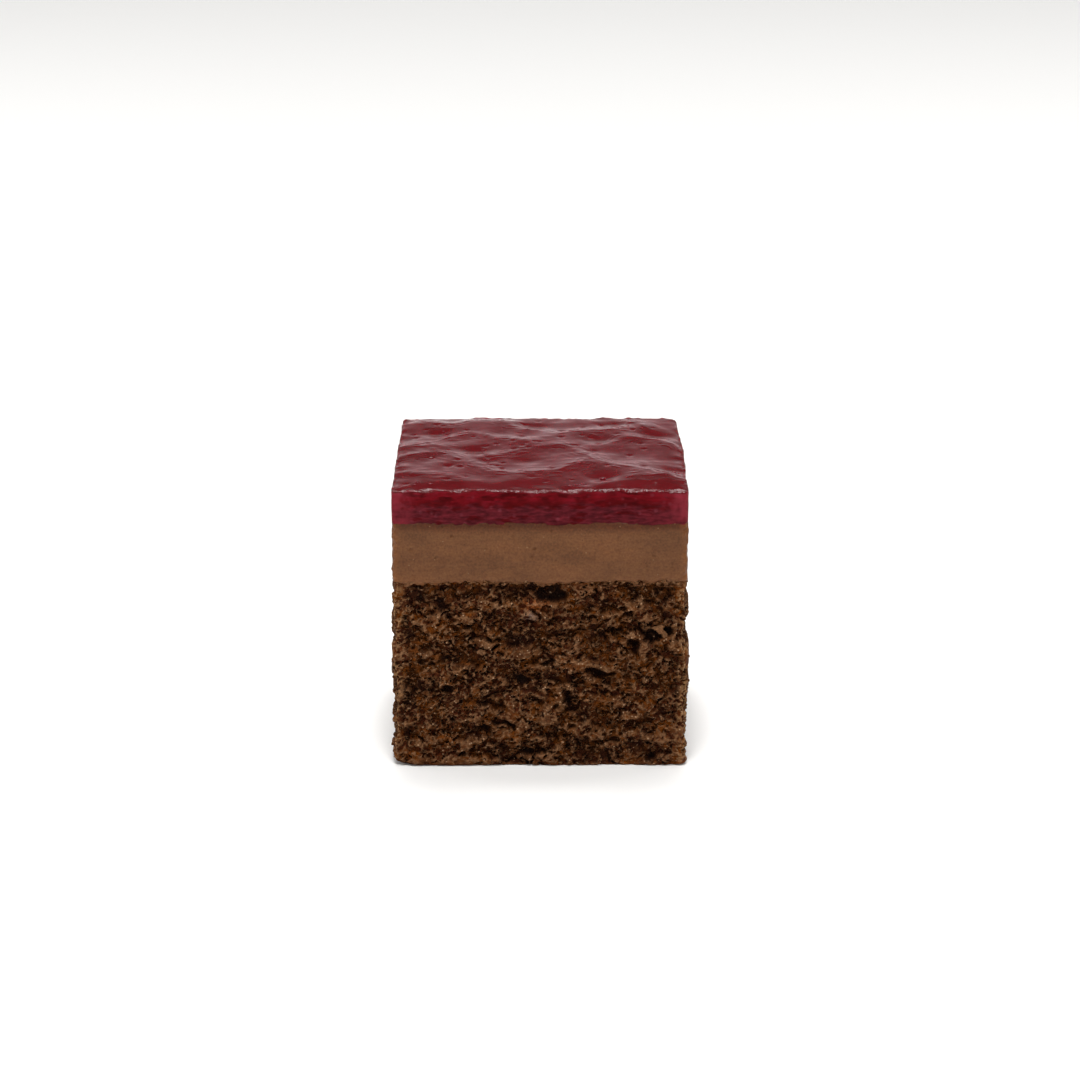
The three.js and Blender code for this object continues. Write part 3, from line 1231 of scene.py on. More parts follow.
    def read_marks(self, depth: Array, strands: Array, fine: Array, steep: Array) -> dict[str, Array]:
        """Values that the finish reads: painted shade, crest, thin wall, painted rim light or coloured patch.

        A point is a crest or a hollow by how its depth differs from the mean round it. Steep walls take
        the mean of their neighbourhood, so that they don't look striped.

        Args:
            depth: Depth of the torn face, rows by columns.
            strands: Strength of its thin walls.
            fine: The fine part of its relief.
            steep: How steep the rest is, from 0 to 1.

        Returns:
            Values by the names in CRUMB_MARKS, each rows by columns.
        """
        step, top, from_edge = self.step, self.levels.sponge_top, self.ragged_edges()
        wide, narrow, across_pit, across_wall = 0.4, 0.18, 0.28, 0.22  # blurs that give means
        sunk, under_rim = (depth - blurred(depth, step, size) for size in (wide, narrow))
        # painted shade: the deeper a point lies behind the cut, the more near-black it gets
        pit_shade = smooth_step(depth + 0.6 * sunk, 0.3, 1.8)
        well_inside = np.clip(1.5 * blurred(pit_shade, step, across_pit) - 0.25, 0, 0.95)
        off_edge = from_least(0.3, smooth_step(from_edge, 0.0, self.edge_band))
        pit_shade = np.minimum(pit_shade, from_least(0.3, well_inside)) * off_edge
        # crest: what stands out, painted paler in the finish, partly as painted light
        crest = 1 - smooth_step(0.5 * sunk + under_rim, -0.2, 0.15)
        at_edge = 1 - smooth_step(from_edge, 0.2, self.edge_band)
        # painted rim light: paler crests near the upright edges, where light from the sides falls
        painted_rim_light = 0.85 * smooth_step(crest, 0.3, 0.9) * at_edge
        open_band = smooth_step(self.strip.heights, top - 2.2, top - 0.6)
        crest = crest * (1 - 0.3 * open_band)
        # strand: pale thin walls, partly a painted highlight
        strand = 0.85 * strands * smooth_step(crest, 0.4, 0.9) * (1 - pit_shade)
        crest, strand = (
            mark + steep * (blurred(mark, step, across_wall) - mark) for mark in (crest, strand)
        )
        lift = np.clip((self.sharpness - 1) * fine, -0.5, 0.5)
        colours = {name: 0.9 * self.spot(*place) for name, place in self.patches}
        colours["rust"] = np.maximum(colours["rust"], 0.4 * at_edge)
        return {"pit_shade": pit_shade, "crest": crest, "strand": strand, "painted_rim_light": painted_rim_light, "lift": lift, **colours}

    def build(self, finish: Material) -> list[Piece]:
        """Makes the four quarters.

        Args:
            finish: Material of the crumb.

        Returns:
            The pieces, front first.
        """
        strip = self.strip
        depth, strands = self.relief()
        rounded = blurred(depth, self.step, self.rounding)
        steep = smooth_step(np.hypot(*np.gradient(rounded, self.step)), 1.0, 2.8)
        fine = (depth - rounded) * (1 - self.steep_calm * steep)
        shape = self.shallow * np.tanh((rounded + self.sharpness * fine) / self.shallow) - self.outward
        up = smooth_step(strip.heights, self.levels.sponge_top - 0.1, strip.high)
        inset = shape + self.foot_inset() + self.tucked * up
        self.surface = strip.place(inset, strip.heights)
        self.marks = self.read_marks(depth, strands, fine, steep)
        return [self.quarter(side, finish) for side in Side]

    def quarter(self, side: Side, finish: Material) -> Piece:
        """Closes one side's face back to the cake's axis.

        Args:
            side: Which side.
            finish: Material of the crumb.

        Returns:
            The piece.
        """
        rows, columns = self.strip.shape
        per_side = self.strip.per_side
        take = np.arange(side.value * per_side, (side.value + 1) * per_side + 1) % columns
        axis = np.array([[0.0, 0.0, self.strip.low], [0.0, 0.0, self.strip.high]])
        face = self.surface[:, take]
        cloud = np.concatenate([face.reshape(-1, 3), axis])
        ids = np.arange(rows * len(take)).reshape(rows, len(take))
        foot, head = len(cloud) - 2, len(cloud) - 1
        patches = [
            quilt(ids, FACE_FRAME),
            lid(np.append(ids[0], foot)[::-1], cloud, LID_FRAMES[0]),
            lid(np.append(ids[-1], head), cloud, LID_FRAMES[1]),
            lid(np.append(ids[:, 0], [head, foot]), cloud, LID_FRAMES[2]),
            lid(np.append(ids[:, -1], [head, foot])[::-1], cloud, LID_FRAMES[3]),
        ]
        inside = [0.5] * len(axis)  # middling marks for the axis, which never shows
        marks = {name: np.append(values[:, take].ravel(), inside) for name, values in self.marks.items()}
        piece = make_piece(f"sponge_{side.name.lower()}", cloud, patches, [finish], marks)
        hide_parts("sponge")
        return piece


@dataclass
class Mousse:
    """The smooth chocolate mousse between crumb and jelly."""

    levels: Levels
    step: float = 0.12  # spacing of the grid
    overlap: float = 0.6  # how far it reaches down into the sponge
    overlap_above: float = 0.3  # how far it reaches up into the jelly
    proud: float = 0.08  # how far its face stands out
    corners: Four = (0.6, 0.6, 1.6, 0.9)
    seed: int = 21
    # Open bubbles
    pits: Bubbles = Bubbles(half_length=0.14, share=0.012, flatness=0.8, reach=0.02, spread=0.6)
    swell: Ripple = Ripple(0.03, 2.5, 1.0)  # low swells of the sliced face
    drag: Ripple = Ripple(0.008, 2.0, 0.06)  # lines that the blade dragged
    lumps: Ripple = Ripple(0.09, 0.22, 0.2)  # lumps along the upright edges
    retreat: float = 0.9  # how far its lower edge draws back into the crumb
    ragged: tuple[Ripple, ...] = (Ripple(0.3, 0.2, 0.16), Ripple(0.12, 0.9, 0.5))  # how uneven that is
    # Unevenness of the line where it does
    crumb_line: tuple[Ripple, ...] = (Ripple(0.1, 1.3, 1.0), Ripple(0.07, 0.2, 1.0))
    line_swing: float = 0.4  # most that this line goes up or down
    jelly_line: Ripple = Ripple(0.02, 0.8, 0.4)  # unevenness of the face just under the jelly

    @property
    def strip(self) -> Strip:
        """The four sides, unrolled."""
        low = self.levels.sponge_top - self.overlap
        high = self.levels.mousse_top + self.overlap_above
        return Strip(self.levels.side, low, high, self.step, self.corners)

    def relief(self) -> Array:
        """Depth of the sliced face behind the outline.

        Drag lines, low swells and open bubbles mark it, and the upright edges are lumpy. Below it goes back
        into the crumb and above into the jelly, each with a random edge.

        Returns:
            Depths, rows by columns.
        """
        strip, step, shape, top = self.strip, self.step, self.strip.shape, self.levels.mousse_top
        grain = Grain(self.seed)
        swell, drag, lumps = (kind.over(shape, step, grain) for kind in (self.swell, self.drag, self.lumps))
        near_edge = 1 - smooth_step(strip.from_edge(), 0.2, 1.2)
        pits = np.zeros(shape)
        round_at, up_at = (np.broadcast_to(places, shape) for places in (strip.distances, strip.heights))
        carve(pits, strip, round_at, up_at, self.pits.scatter(strip, grain.draw))
        ragged = sum(kind.over(shape, step, grain) for kind in self.ragged)
        line = sum(kind.over((1, shape[1]), step, grain) for kind in self.crumb_line)
        over_line = strip.heights - np.clip(line, -self.line_swing, self.line_swing)
        low = 1 - smooth_step(over_line, strip.low + 0.1, self.levels.sponge_top + 0.25)
        below = low * (self.retreat + ragged)
        over_seam = strip.heights - self.levels.jelly_seam.at(strip.distances)
        above = np.clip(over_seam, 0, None) * SEAM_SLOPE
        wavy = self.jelly_line.over(shape, step, grain) * smooth_step(strip.heights, top - 0.4, top)
        return swell + drag + lumps * near_edge + pits + below + above + wavy - self.proud

    def build(self, finish: Material) -> Piece:
        """Makes the layer.

        Args:
            finish: Material of the mousse.

        Returns:
            The piece.
        """
        strip = self.strip
        rows, columns = strip.shape
        points = strip.place(self.relief(), strip.heights).reshape(-1, 3)
        ids = np.arange(rows * columns).reshape(rows, columns)
        closed = np.concatenate([ids, ids[:, :1]], axis=1)
        patches = [
            quilt(closed, FACE_FRAME),
            lid(ids[0][::-1], points, LID_FRAMES[0]),
            lid(ids[-1], points, LID_FRAMES[1]),
        ]
        top = self.levels.mousse_top
        stain = smooth_step(strip.heights, top - 1.6, top + 0.1)
        # edge: painted light along the upright edges
        edge = 0.5 * (1 - smooth_step(strip.from_edge(), 0.0, 1.2))
        marks = {"stain": np.broadcast_to(stain, strip.shape), "edge": np.broadcast_to(edge, strip.shape)}
        piece = make_piece("mousse_layer", points, patches, [finish], marks)
        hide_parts("mousse")
        return piece


@dataclass(frozen=True)
class Dip:
    """A dip in the jelly's top, by its middle, half sizes and depth."""

    x: float
    y: float
    half_width: float
    half_length: float
    depth: float

    def sink(self, x: Array, y: Array) -> Array:
        """Its depth d exp(-(x/a)^2 - (y/b)^2) at places, x and y being counted from its middle."""
        across, along = (x - self.x) / self.half_width, (y - self.y) / self.half_length
        return self.depth * np.exp(-(across**2) - along**2)


@dataclass(frozen=True)
class Ridge:
    """A crest that runs through places on the jelly's top, gentle in front and steeper behind."""

    places: tuple[tuple[float, float], ...]  # points of its line, from left to right
    height: float = 0.36  # how high it stands
    front: float = 4.2  # distance in front of it in which it falls to a share 1/e of its height
    behind: float = 2.3  # the same distance behind it
    soft: float = 0.5  # distance over which its top is rounded
    wrinkle: float = 0.05  # height of the wrinkles that run along it
    pitch: float = 1.2  # distance from one wrinkle to the next
    wrinkled: float = 2.2  # distance from the line in which they fade to a share 1/e

    def line(self) -> Array:
        """Points of a smooth line through the places.

        Between two places b and c it is a cubic that leaves b along the line from a to c and comes to c
        along the line from b to d, a and d being the places before and after them.

        Returns:
            The points, n by 2.
        """
        knots = np.array([self.places[0], *self.places, self.places[-1]])
        per_stretch = 5
        t = np.linspace(0, 1, per_stretch, endpoint=False)[:, None]
        stretches = []
        for a, b, c, d in zip(knots[:-3], knots[1:-2], knots[2:-1], knots[3:]):
            bend = (2 * a - 5 * b + 4 * c - d) * t**2 + (3 * b - a - 3 * c + d) * t**3
            stretches.append(b + (c - a) * t / 2 + bend / 2)
        return np.concatenate([*stretches, knots[-1:]])

    def rise(self, x: Array, y: Array, bend: Array, share: Array) -> Array:
        """Height h exp(-(sqrt(d^2 + s^2) - s) / w) at a distance d from the crest's line, with wrinkles.

        The width w goes from the front's to that behind with the sine of the direction from the line. The
        wrinkles are ((1 + cos(2 pi (d + bend) / pitch)) / 2)^3, fading by exp(-(d / r)^2), with d negative
        in front.

        Args:
            x: Places across.
            y: Places along.
            bend: How far each place's wrinkles are shifted.
            share: How much of the wrinkles' height each place has.

        Returns:
            Heights of the same shape.
        """
        nearest = np.full(x.shape, np.inf)
        side = np.zeros(x.shape)
        line = self.line()
        for (x0, y0), (x1, y1) in zip(line[:-1], line[1:]):
            run_x, run_y = x1 - x0, y1 - y0
            span = math.hypot(run_x, run_y)
            on = np.clip(((x - x0) * run_x + (y - y0) * run_y) / span**2, 0, 1)
            gap = np.hypot(x - x0 - on * run_x, y - y0 - on * run_y)
            across = (run_x * (y - y0) - run_y * (x - x0)) / span
            side = np.where(gap < nearest, across / np.maximum(gap, 1e-6), side)
            nearest = np.minimum(nearest, gap)
        width = (self.front + self.behind) / 2 + side * (self.behind - self.front) / 2
        turn = 2 * np.pi * (nearest * side + bend) / self.pitch
        wrinkles = (0.5 + 0.5 * np.cos(turn)) ** 3 * np.exp(-((nearest / self.wrinkled) ** 2))
        crest = self.height * np.exp(-(np.sqrt(nearest**2 + self.soft**2) - self.soft) / width)
        return crest + self.wrinkle * share * wrinkles


@dataclass(frozen=True)
class Swell:
    """Random waves of about one length on the jelly's top."""

    length: float  # middle of their lengths
    deviation: float  # deviation of their height
    count: int  # how many waves add up
    spread: tuple[float, float] = (0.75, 1.35)  # least and most that chance multiplies a length by

    def rise(self, x: Array, y: Array, draw: Chance) -> Array:
        """Sum of sines, each with a direction, a phase and a length of its own.

        Args:
            x: Places across.
            y: Places along.
            draw: Source of chance.

        Returns:
            Heights of the same shape.
        """
        angle = np.pi / 2 + draw.uniform(-np.pi, np.pi, self.count)
        phase = draw.uniform(0, 2 * np.pi, self.count)
        pitch = self.length * draw.uniform(*self.spread, self.count)
        height = np.zeros_like(x)
        for a, p, w in zip(angle, phase, pitch):
            height += np.sin(2 * np.pi * (x * np.cos(a) + y * np.sin(a)) / w + p)
        return self.deviation * math.sqrt(2 / self.count) * height


@dataclass
class Jelly:
    """The berry jelly: cut sides, a thin rounded rim and a wavy set top."""

    levels: Levels
    per_side: int = 270  # columns of points on each side
    side_rows: int = 16  # rows of points on the cut sides
    rim_rows: int = 6  # rows of points on the rim
    overlap: float = 0.35  # how far it reaches down into the mousse
    proud: float = 0.07  # how far its sides stand out
    front_proud: float = 0.05  # how much further the front does
    # Unevenness of the sides
    bulge: tuple[Ripple, ...] = (Ripple(0.06, 2.0, 0.8), Ripple(0.015, 0.4, 0.25))
    rim: float = 0.2  # radius of the rim
    # Unevenness of its height
    rim_ripples: tuple[Ripple, ...] = (Ripple(0.05, 0.25, 0.2), Ripple(0.04, 1.2, 0.2))
    shoulder: float = 0.2  # how far the top drops at its edges
    shoulder_reach: float = 0.8  # distance in which that falls to a share 1/e
    back_rise: float = 0.8  # rise of the top from the first to the last of the next two places
    rise_from: float = -14.0
    rise_to: float = 28.0  # a place beyond the back, so part of the rise shows
    corner_drop: float = 0.3  # how far the back left corner drops
    corner_spread: float = 8.0  # square of its reach
    corners: Four = (0.5, 0.6, 2.0, 1.0)
    seed: int = 33
    settled: float = 0.1  # how far the hills are lowered to keep the top's mean level
    front_lift: float = 0.2  # how far the whole top is lifted, to make up for the next drop
    front_roll: float = 0.22  # how far the top drops at its front edge
    front_reach: float = 3.0  # distance in which that falls to a share 1/e
    swells: tuple[Swell, ...] = (Swell(11.0, 0.06, 10), Swell(4.5, 0.022, 16), Swell(1.7, 0.005, 24))
    folds: Swell = Swell(3.4, 0.3, 20)  # chance shift of the ridges' wrinkles
    breaks: Swell = Swell(2.6, 1.0, 20)  # where the wrinkles are broken off
    spots: Swell = Swell(0.9, 0.035, 24)  # unevenness of the edges of clear spots
    edging: Swell = Swell(3.2, 0.07, 20)  # unevenness of the top along its edges
    edging_reach: float = 1.0  # distance in which that falls to a share 1/e
    pocks: int = 90
    pock_depth: float = 0.2  # depth of a pock over its radius
    pock_sizes: tuple[float, float] = (0.25, 0.5)
    film: tuple[float, float] = (0.6, 3.6)  # heights over the mousse between which the milky film fades
    edge_glow: float = 0.5  # how much light comes round the upright edges
    edge_reach: float = 4.0  # distance from them in which that fades
    dips: tuple[Dip, ...] = (
        Dip(-0.9, 12.9, 2.2, 1.8, 0.3),
        Dip(7.1, 5.6, 2.2, 1.8, 0.3),
        Dip(-7.7, 0.2, 2.6, 1.8, 0.32),
        Dip(7.8, -12.7, 2.0, 1.6, 0.28),
        Dip(15.8, -9.0, 1.8, 1.8, 0.28),
        Dip(-12.8, 8.6, 2.0, 1.6, 0.26),
        Dip(-6.4, -5.0, 1.3, 1.1, 0.2),
        Dip(-0.6, -16.0, 2.4, 1.6, 0.2),
        Dip(9.5, 13.6, 1.9, 1.5, 0.26),
        Dip(14.3, 8.0, 1.8, 1.6, 0.26),
        Dip(6.3, -0.2, 0.8, 0.8, 0.12),
        Dip(-1.8, -5.0, 1.8, 1.4, 0.14),
        Dip(-16.3, 6.6, 1.2, 1.2, 0.16),
    )
    ridges: tuple[Ridge, ...] = (
        Ridge(
            ((-17.5, -3.4), (-12.8, -1.9), (-10.3, -4.3), (-8.0, -8.0),
             (-4.2, -10.5), (1.8, -10.0), (5.0, -6.6))
        ),
        Ridge(((-5.2, -2.4), (-1.8, 0.0), (2.5, 2.2), (5.0, -1.5), (6.9, -5.8), (10.3, -8.1), (15.0, -11.9))),
        Ridge(((-11.0, 6.0), (-8.1, 7.9), (-5.3, 5.9), (-2.3, 3.9))),
        Ridge(((-13.7, 14.0), (-11.1, 13.0), (-8.0, 15.8), (-5.4, 14.5), (-1.9, 10.4))),
        Ridge(((2.9, 8.4), (7.0, 10.0), (9.9, 10.4), (11.2, 14.0), (12.9, 12.5))),
        Ridge(((9.3, 4.4), (11.3, 5.9), (15.4, 3.9), (17.0, 1.5))),
        Ridge(((-17.5, 2.0), (-14.9, 2.5), (-12.5, 1.3))),
        Ridge(((-17.0, -10.0), (-14.5, -11.5), (-11.0, -12.5))),
        Ridge(((10.5, -13.0), (14.0, -12.6), (17.0, -13.5))),
    )

    @property
    def strip(self) -> Strip:
        """The four sides, unrolled."""
        step = self.levels.side / self.per_side
        low = self.levels.mousse_top - self.overlap
        return Strip(self.levels.side, low, low + step * (self.side_rows - 1), step, self.corners)

    def hills(self, x: Array, y: Array) -> Array:
        """Height of the top's own hills: ridges with wrinkles along them, random swells, pocks and dips.

        Args:
            x: Places across.
            y: Places along.

        Returns:
            Heights of the same shape.
        """
        draw = np.random.default_rng(self.seed)
        bend = self.folds.rise(x, y, draw)
        broken = smooth_step(self.breaks.rise(x, y, draw), -0.8, 1.2)
        height = np.sum([ridge.rise(x, y, bend, broken) for ridge in self.ridges], axis=0) - self.settled
        for wave in self.swells:
            height += wave.rise(x, y, draw)
        pock = draw.uniform(-self.levels.side / 2, self.levels.side / 2, (self.pocks, 2))
        size = draw.uniform(*self.pock_sizes, self.pocks)
        for (at_x, at_y), radius in zip(pock, size):
            height -= self.pock_depth * radius * np.exp(-((x - at_x) ** 2 + (y - at_y) ** 2) / radius**2)
        return height - self.dimples(x, y)

    def dimples(self, x: Array, y: Array) -> Array:
        """Depth of all dips together at places across and along."""
        return np.sum([dip.sink(x, y) for dip in self.dips], axis=0)

    def clear_spots(self, x: Array, y: Array) -> Array:
        """How clear the jelly is, from 0 to 1: the deepest parts of its dips, with ragged edges."""
        ragged = self.spots.rise(x, y, np.random.default_rng(self.seed))
        return smooth_step(self.dimples(x, y) + ragged, 0.1, 0.24)

    def waves(self, x: Array, y: Array) -> Array:
        """Height of the top above its mean level.

        The hills are lower near the edges. The top rises to the back, drops at its back left corner, and
        rolls over at its edges by exp(-d/s), with d the distance from the nearest edge, and more gently in
        front. Along the edges it is uneven, by random waves that fade inwards in the same way.

        Args:
            x: Places across.
            y: Places along.

        Returns:
            Heights of the same shape.
        """
        half = self.levels.side / 2
        inward = half - np.maximum(np.abs(x), np.abs(y))
        to_ends = from_least(0.25, smooth_step(half - np.abs(y), 0.0, 3.0))
        to_sides = from_least(0.6, smooth_step(half - np.abs(x), 0.0, 2.5))
        hills = self.hills(x, y) * to_ends * to_sides
        low_corner = np.exp(-((x + half) ** 2 + (y - half) ** 2) / self.corner_spread)
        shoulder = self.shoulder * np.exp(-np.clip(inward, 0, None) / self.shoulder_reach)
        roll = self.front_roll * np.exp(-(y + half) / self.front_reach)
        lift = self.front_lift + self.back_rise * smooth_step(y, self.rise_from, self.rise_to)
        uneven = self.edging.rise(x, y, np.random.default_rng(self.seed + 1))
        uneven = uneven * np.exp(-np.clip(inward, 0, None) / self.edging_reach)
        return hills + lift + uneven - self.corner_drop * low_corner - shoulder - roll

    def sides(self) -> Array:
        """Points of the cut sides and, above them, of the rim, which rounds over to meet the top.

        Returns:
            Points, rows by columns by 3.
        """
        strip, step, columns = self.strip, self.strip.step, self.strip.shape[1]
        grain = Grain(self.seed)
        total = (self.side_rows + self.rim_rows, columns)
        bulge = sum(kind.over(total, step, grain) for kind in self.bulge)
        points, rays = strip.trace()
        tilt = math.atan(self.shoulder / self.shoulder_reach)
        inner = points - rays * self.rim * (1 - math.sin(tilt))
        crest = self.levels.jelly_top + self.waves(inner[:, 0], inner[:, 1])
        drawn = (8, columns)  # a few rows are drawn, of which the first is taken
        for kind in self.rim_ripples:
            crest = crest + kind.over(drawn, step, grain)[0]
        share = np.linspace(0, 1, self.side_rows)[:, None]
        wall = strip.low + share * (crest[None] - self.rim * math.cos(tilt) - strip.low)
        angle = np.linspace(0, np.pi / 2 - tilt, self.rim_rows + 1)[1:, None]
        arc = crest[None] - self.rim * (math.cos(tilt) - np.sin(angle))
        heights = np.concatenate([wall, arc])
        turned = np.concatenate([np.zeros((self.side_rows, 1)), self.rim * (1 - np.cos(angle))])
        under = np.clip(self.levels.jelly_seam.at(strip.distances) - heights, 0, None) * SEAM_SLOPE
        facing_front = smooth_step(-rays[:, 1], 0.2, 0.9)
        depth = bulge + turned + under - self.proud - self.front_proud * facing_front
        return strip.place(depth, heights)

    def read_marks(self, ring: Array, cloud: Array) -> dict[str, Array]:
        """Values that the finishes read: milky film, painted edge glow, clear dip, painted back-slope light,
        rim.

        Args:
            ring: Points of the sides and the rim, rows by columns by 3.
            cloud: All points, n by 3, the ring's before those of the top.

        Returns:
            Values by name, each n.
        """
        x, y, heights = cloud[:, 0], cloud[:, 1], ring[..., 2]
        film = 1 - smooth_step(heights, *(self.levels.mousse_top + rise for rise in self.film))
        edge = self.edge_glow * (1 - smooth_step(self.strip.from_edge(), 0.0, self.edge_reach))
        reach = 0.3  # distance over which the top's slope is measured
        ahead, behind = (self.waves(x, y + way) for way in (-reach, reach))
        fall = (ahead - behind) / (2 * reach)
        from_rim = self.levels.side / 2 - np.maximum(np.abs(x), np.abs(y))
        blank = np.zeros(len(cloud) - heights.size)
        return {
            "film": np.append(film, blank),
            "edge": np.append(np.broadcast_to(edge, heights.shape), blank),
            "dip": self.clear_spots(x, y),
            # swell: painted light, highest where the top slopes down to the back
            "swell": smooth_step(fall, -0.12, 0.16),
            "rim": 1 - smooth_step(from_rim, 0.2, 0.7),
        }

    def build(self, skin: Material, cut: Material) -> Piece:
        """Makes the layer.

        Args:
            skin: Material of the set top.
            cut: Material of the cut sides.

        Returns:
            The piece.
        """
        ring = self.sides()
        rows, columns = ring.shape[:2]
        top = self.top_points(ring[-1])
        ids = np.arange(rows * columns).reshape(rows, columns)
        crown = self.crown_ids(ids[-1], ids.size)
        cloud = np.concatenate([ring.reshape(-1, 3), top[1:-1, 1:-1].reshape(-1, 3)])
        closed = np.concatenate([ids, ids[:, :1]], axis=1)
        waist = self.side_rows - 1
        of_skin, of_cut = 0, 1
        patches = [
            quilt(closed[: waist + 1], Frame2D(0.01, 0.73, 0.99, 0.85), of_cut),
            quilt(closed[waist:], Frame2D(0.01, 0.68, 0.99, 0.72), of_skin),
            quilt(crown, Frame2D(0.01, 0.01, 0.66, 0.66), of_skin),
            lid(ids[0][::-1], cloud, LID_FRAMES[0], of_cut),
        ]
        marks = self.read_marks(ring, cloud)
        piece = make_piece("jelly_layer", cloud, patches, [skin, cut], marks)
        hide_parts("jelly")
        return piece

    def crown_ids(self, rim: Array, first: int) -> Array:
        """Numbers of the top's points, with the rim's own along its four edges.

        Args:
            rim: Numbers of the rim's points, from the front left corner.
            first: Number of the first point inside.

        Returns:
            Numbers, from front to back and from left to right.
        """
        n = self.per_side
        crown = np.zeros((n + 1, n + 1), dtype=int)
        crown[1:-1, 1:-1] = first + np.arange((n - 1) ** 2).reshape(n - 1, n - 1)
        loop = np.append(rim, rim[0])
        crown[0, :] = loop[: n + 1]
        crown[:, -1] = loop[n : 2 * n + 1]
        crown[-1, ::-1] = loop[2 * n : 3 * n + 1]
        crown[::-1, 0] = loop[3 * n : 4 * n + 1]
        return crown

    def top_points(self, rim: Array) -> Array:
        """Points of the top, from front to back and from left to right.

        A point of an even square grid moves as the rim's point on the same line from the middle does,
        by that move times the fourth power of its share of the way out. Its height follows the waves.

        Args:
            rim: Points of the rim, columns by 3.

        Returns:
            Points, n + 1 by n + 1 by 3.
        """
        n, side, half = self.per_side, self.levels.side, self.levels.side / 2
        even = np.linspace(-half, half, n + 1)
        x, y = np.meshgrid(even, even)
        share = np.maximum(np.abs(x), np.abs(y)) / half
        scale = np.where(share > 0, share, 1.0)
        on_x, on_y = x / scale, y / scale
        tiny = 1e-9
        front, right, back = on_y <= -half + tiny, on_x >= half - tiny, on_y >= half - tiny
        ways = [on_x + half, 3 * half + on_y, 5 * half - on_x]
        round_at = np.select([front, right, back], ways, 7 * half - on_y)
        loop = np.concatenate([rim[:, :2], rim[:1, :2]])
        turns = np.linspace(0, QUARTERS, QUARTERS * n + 1)
        corners = half * np.array([*SQUARE, SQUARE[0]]).T
        square = np.stack([np.interp(turns, range(QUARTERS + 1), places) for places in corners], axis=1)
        moves = (loop - square).T
        spots = np.linspace(0, QUARTERS * side, QUARTERS * n + 1)
        x, y = (at + np.interp(round_at, spots, move) * share**4 for at, move in zip((x, y), moves))
        return np.stack([x, y, self.levels.jelly_top + self.waves(x, y)], axis=2)


@dataclass(frozen=True)
class Lumps:
    """Maker of many small closed balls in one mesh."""

    columns: int = 10  # points round each ball
    rings: int = 5  # rings of points between its poles
    roughness: float = 0.12  # deviation of a point's distance from the middle, as a share of it

    def sphere(self) -> Array:
        """Points of a unit ball: the upper pole, ring after ring downwards, then the lower pole.

        Returns:
            The points, n by 3.
        """
        polar = np.pi * np.arange(1, self.rings + 1)[:, None] / (self.rings + 1)
        round_at = 2 * np.pi * np.arange(self.columns)[None, :] / self.columns
        level = np.stack([np.sin(polar) * np.cos(round_at), np.sin(polar) * np.sin(round_at)], axis=-1)
        tall = np.broadcast_to(np.cos(polar), (self.rings, self.columns))[..., None]
        body = np.concatenate([level, tall], axis=-1).reshape(-1, 3)
        return np.concatenate([[[0.0, 0.0, 1.0]], body, [[0.0, 0.0, -1.0]]])

    def faces(self, count: int) -> list[Patch]:
        """Quads between the rings of each ball and triangles round its poles.

        Args:
            count: How many balls there are.

        Returns:
            The quads and the triangles, each ball in its own square of the bake map.
        """
        per_ball = self.columns * self.rings + 2
        rings = 1 + np.arange(self.columns * self.rings).reshape(self.rings, self.columns)
        on = np.roll(rings, -1, axis=1)
        quads = np.stack([rings[:-1], rings[1:], on[1:], on[:-1]], axis=-1).reshape(-1, 4)
        upper = np.stack([np.zeros(self.columns, int), rings[0], on[0]], axis=-1)
        lower = np.stack([np.full(self.columns, per_ball - 1), on[-1], rings[-1]], axis=-1)
        first = per_ball * np.arange(count)[:, None, None]
        cells = math.ceil(math.sqrt(count))
        square = np.stack([np.arange(count) % cells, np.arange(count) // cells], axis=-1)
        middle, reach = 0.5, 0.42  # of a ball in its square of the bake map
        flat = middle + reach * self.sphere()[:, :2]
        patches = []
        for kind in (quads, np.concatenate([upper, lower])):
            places = (square[:, None, None, :] + flat[kind][None]) / cells
            sizes = np.full(count * len(kind), kind.shape[1])
            patches.append(Patch((first + kind).ravel(), sizes, places.reshape(-1, 2)))
        return patches

    def points(self, centres: Array, axes: Array, draw: Chance) -> Array:
        """Points of all balls: each unit ball roughened, stretched along its three half axes and moved.

        Args:
            centres: Middle of each ball, n by 3.
            axes: Half axes of each ball, n by 3 by 3, a right-handed set in rows.
            draw: Source of chance.

        Returns:
            Points, n times the points of one ball by 3.
        """
        ball = self.sphere()
        rough = 1 + self.roughness * draw.standard_normal((len(centres), len(ball), 1))
        return (centres[:, None] + np.einsum("nvk,nkx->nvx", ball[None] * rough, axes)).reshape(-1, 3)


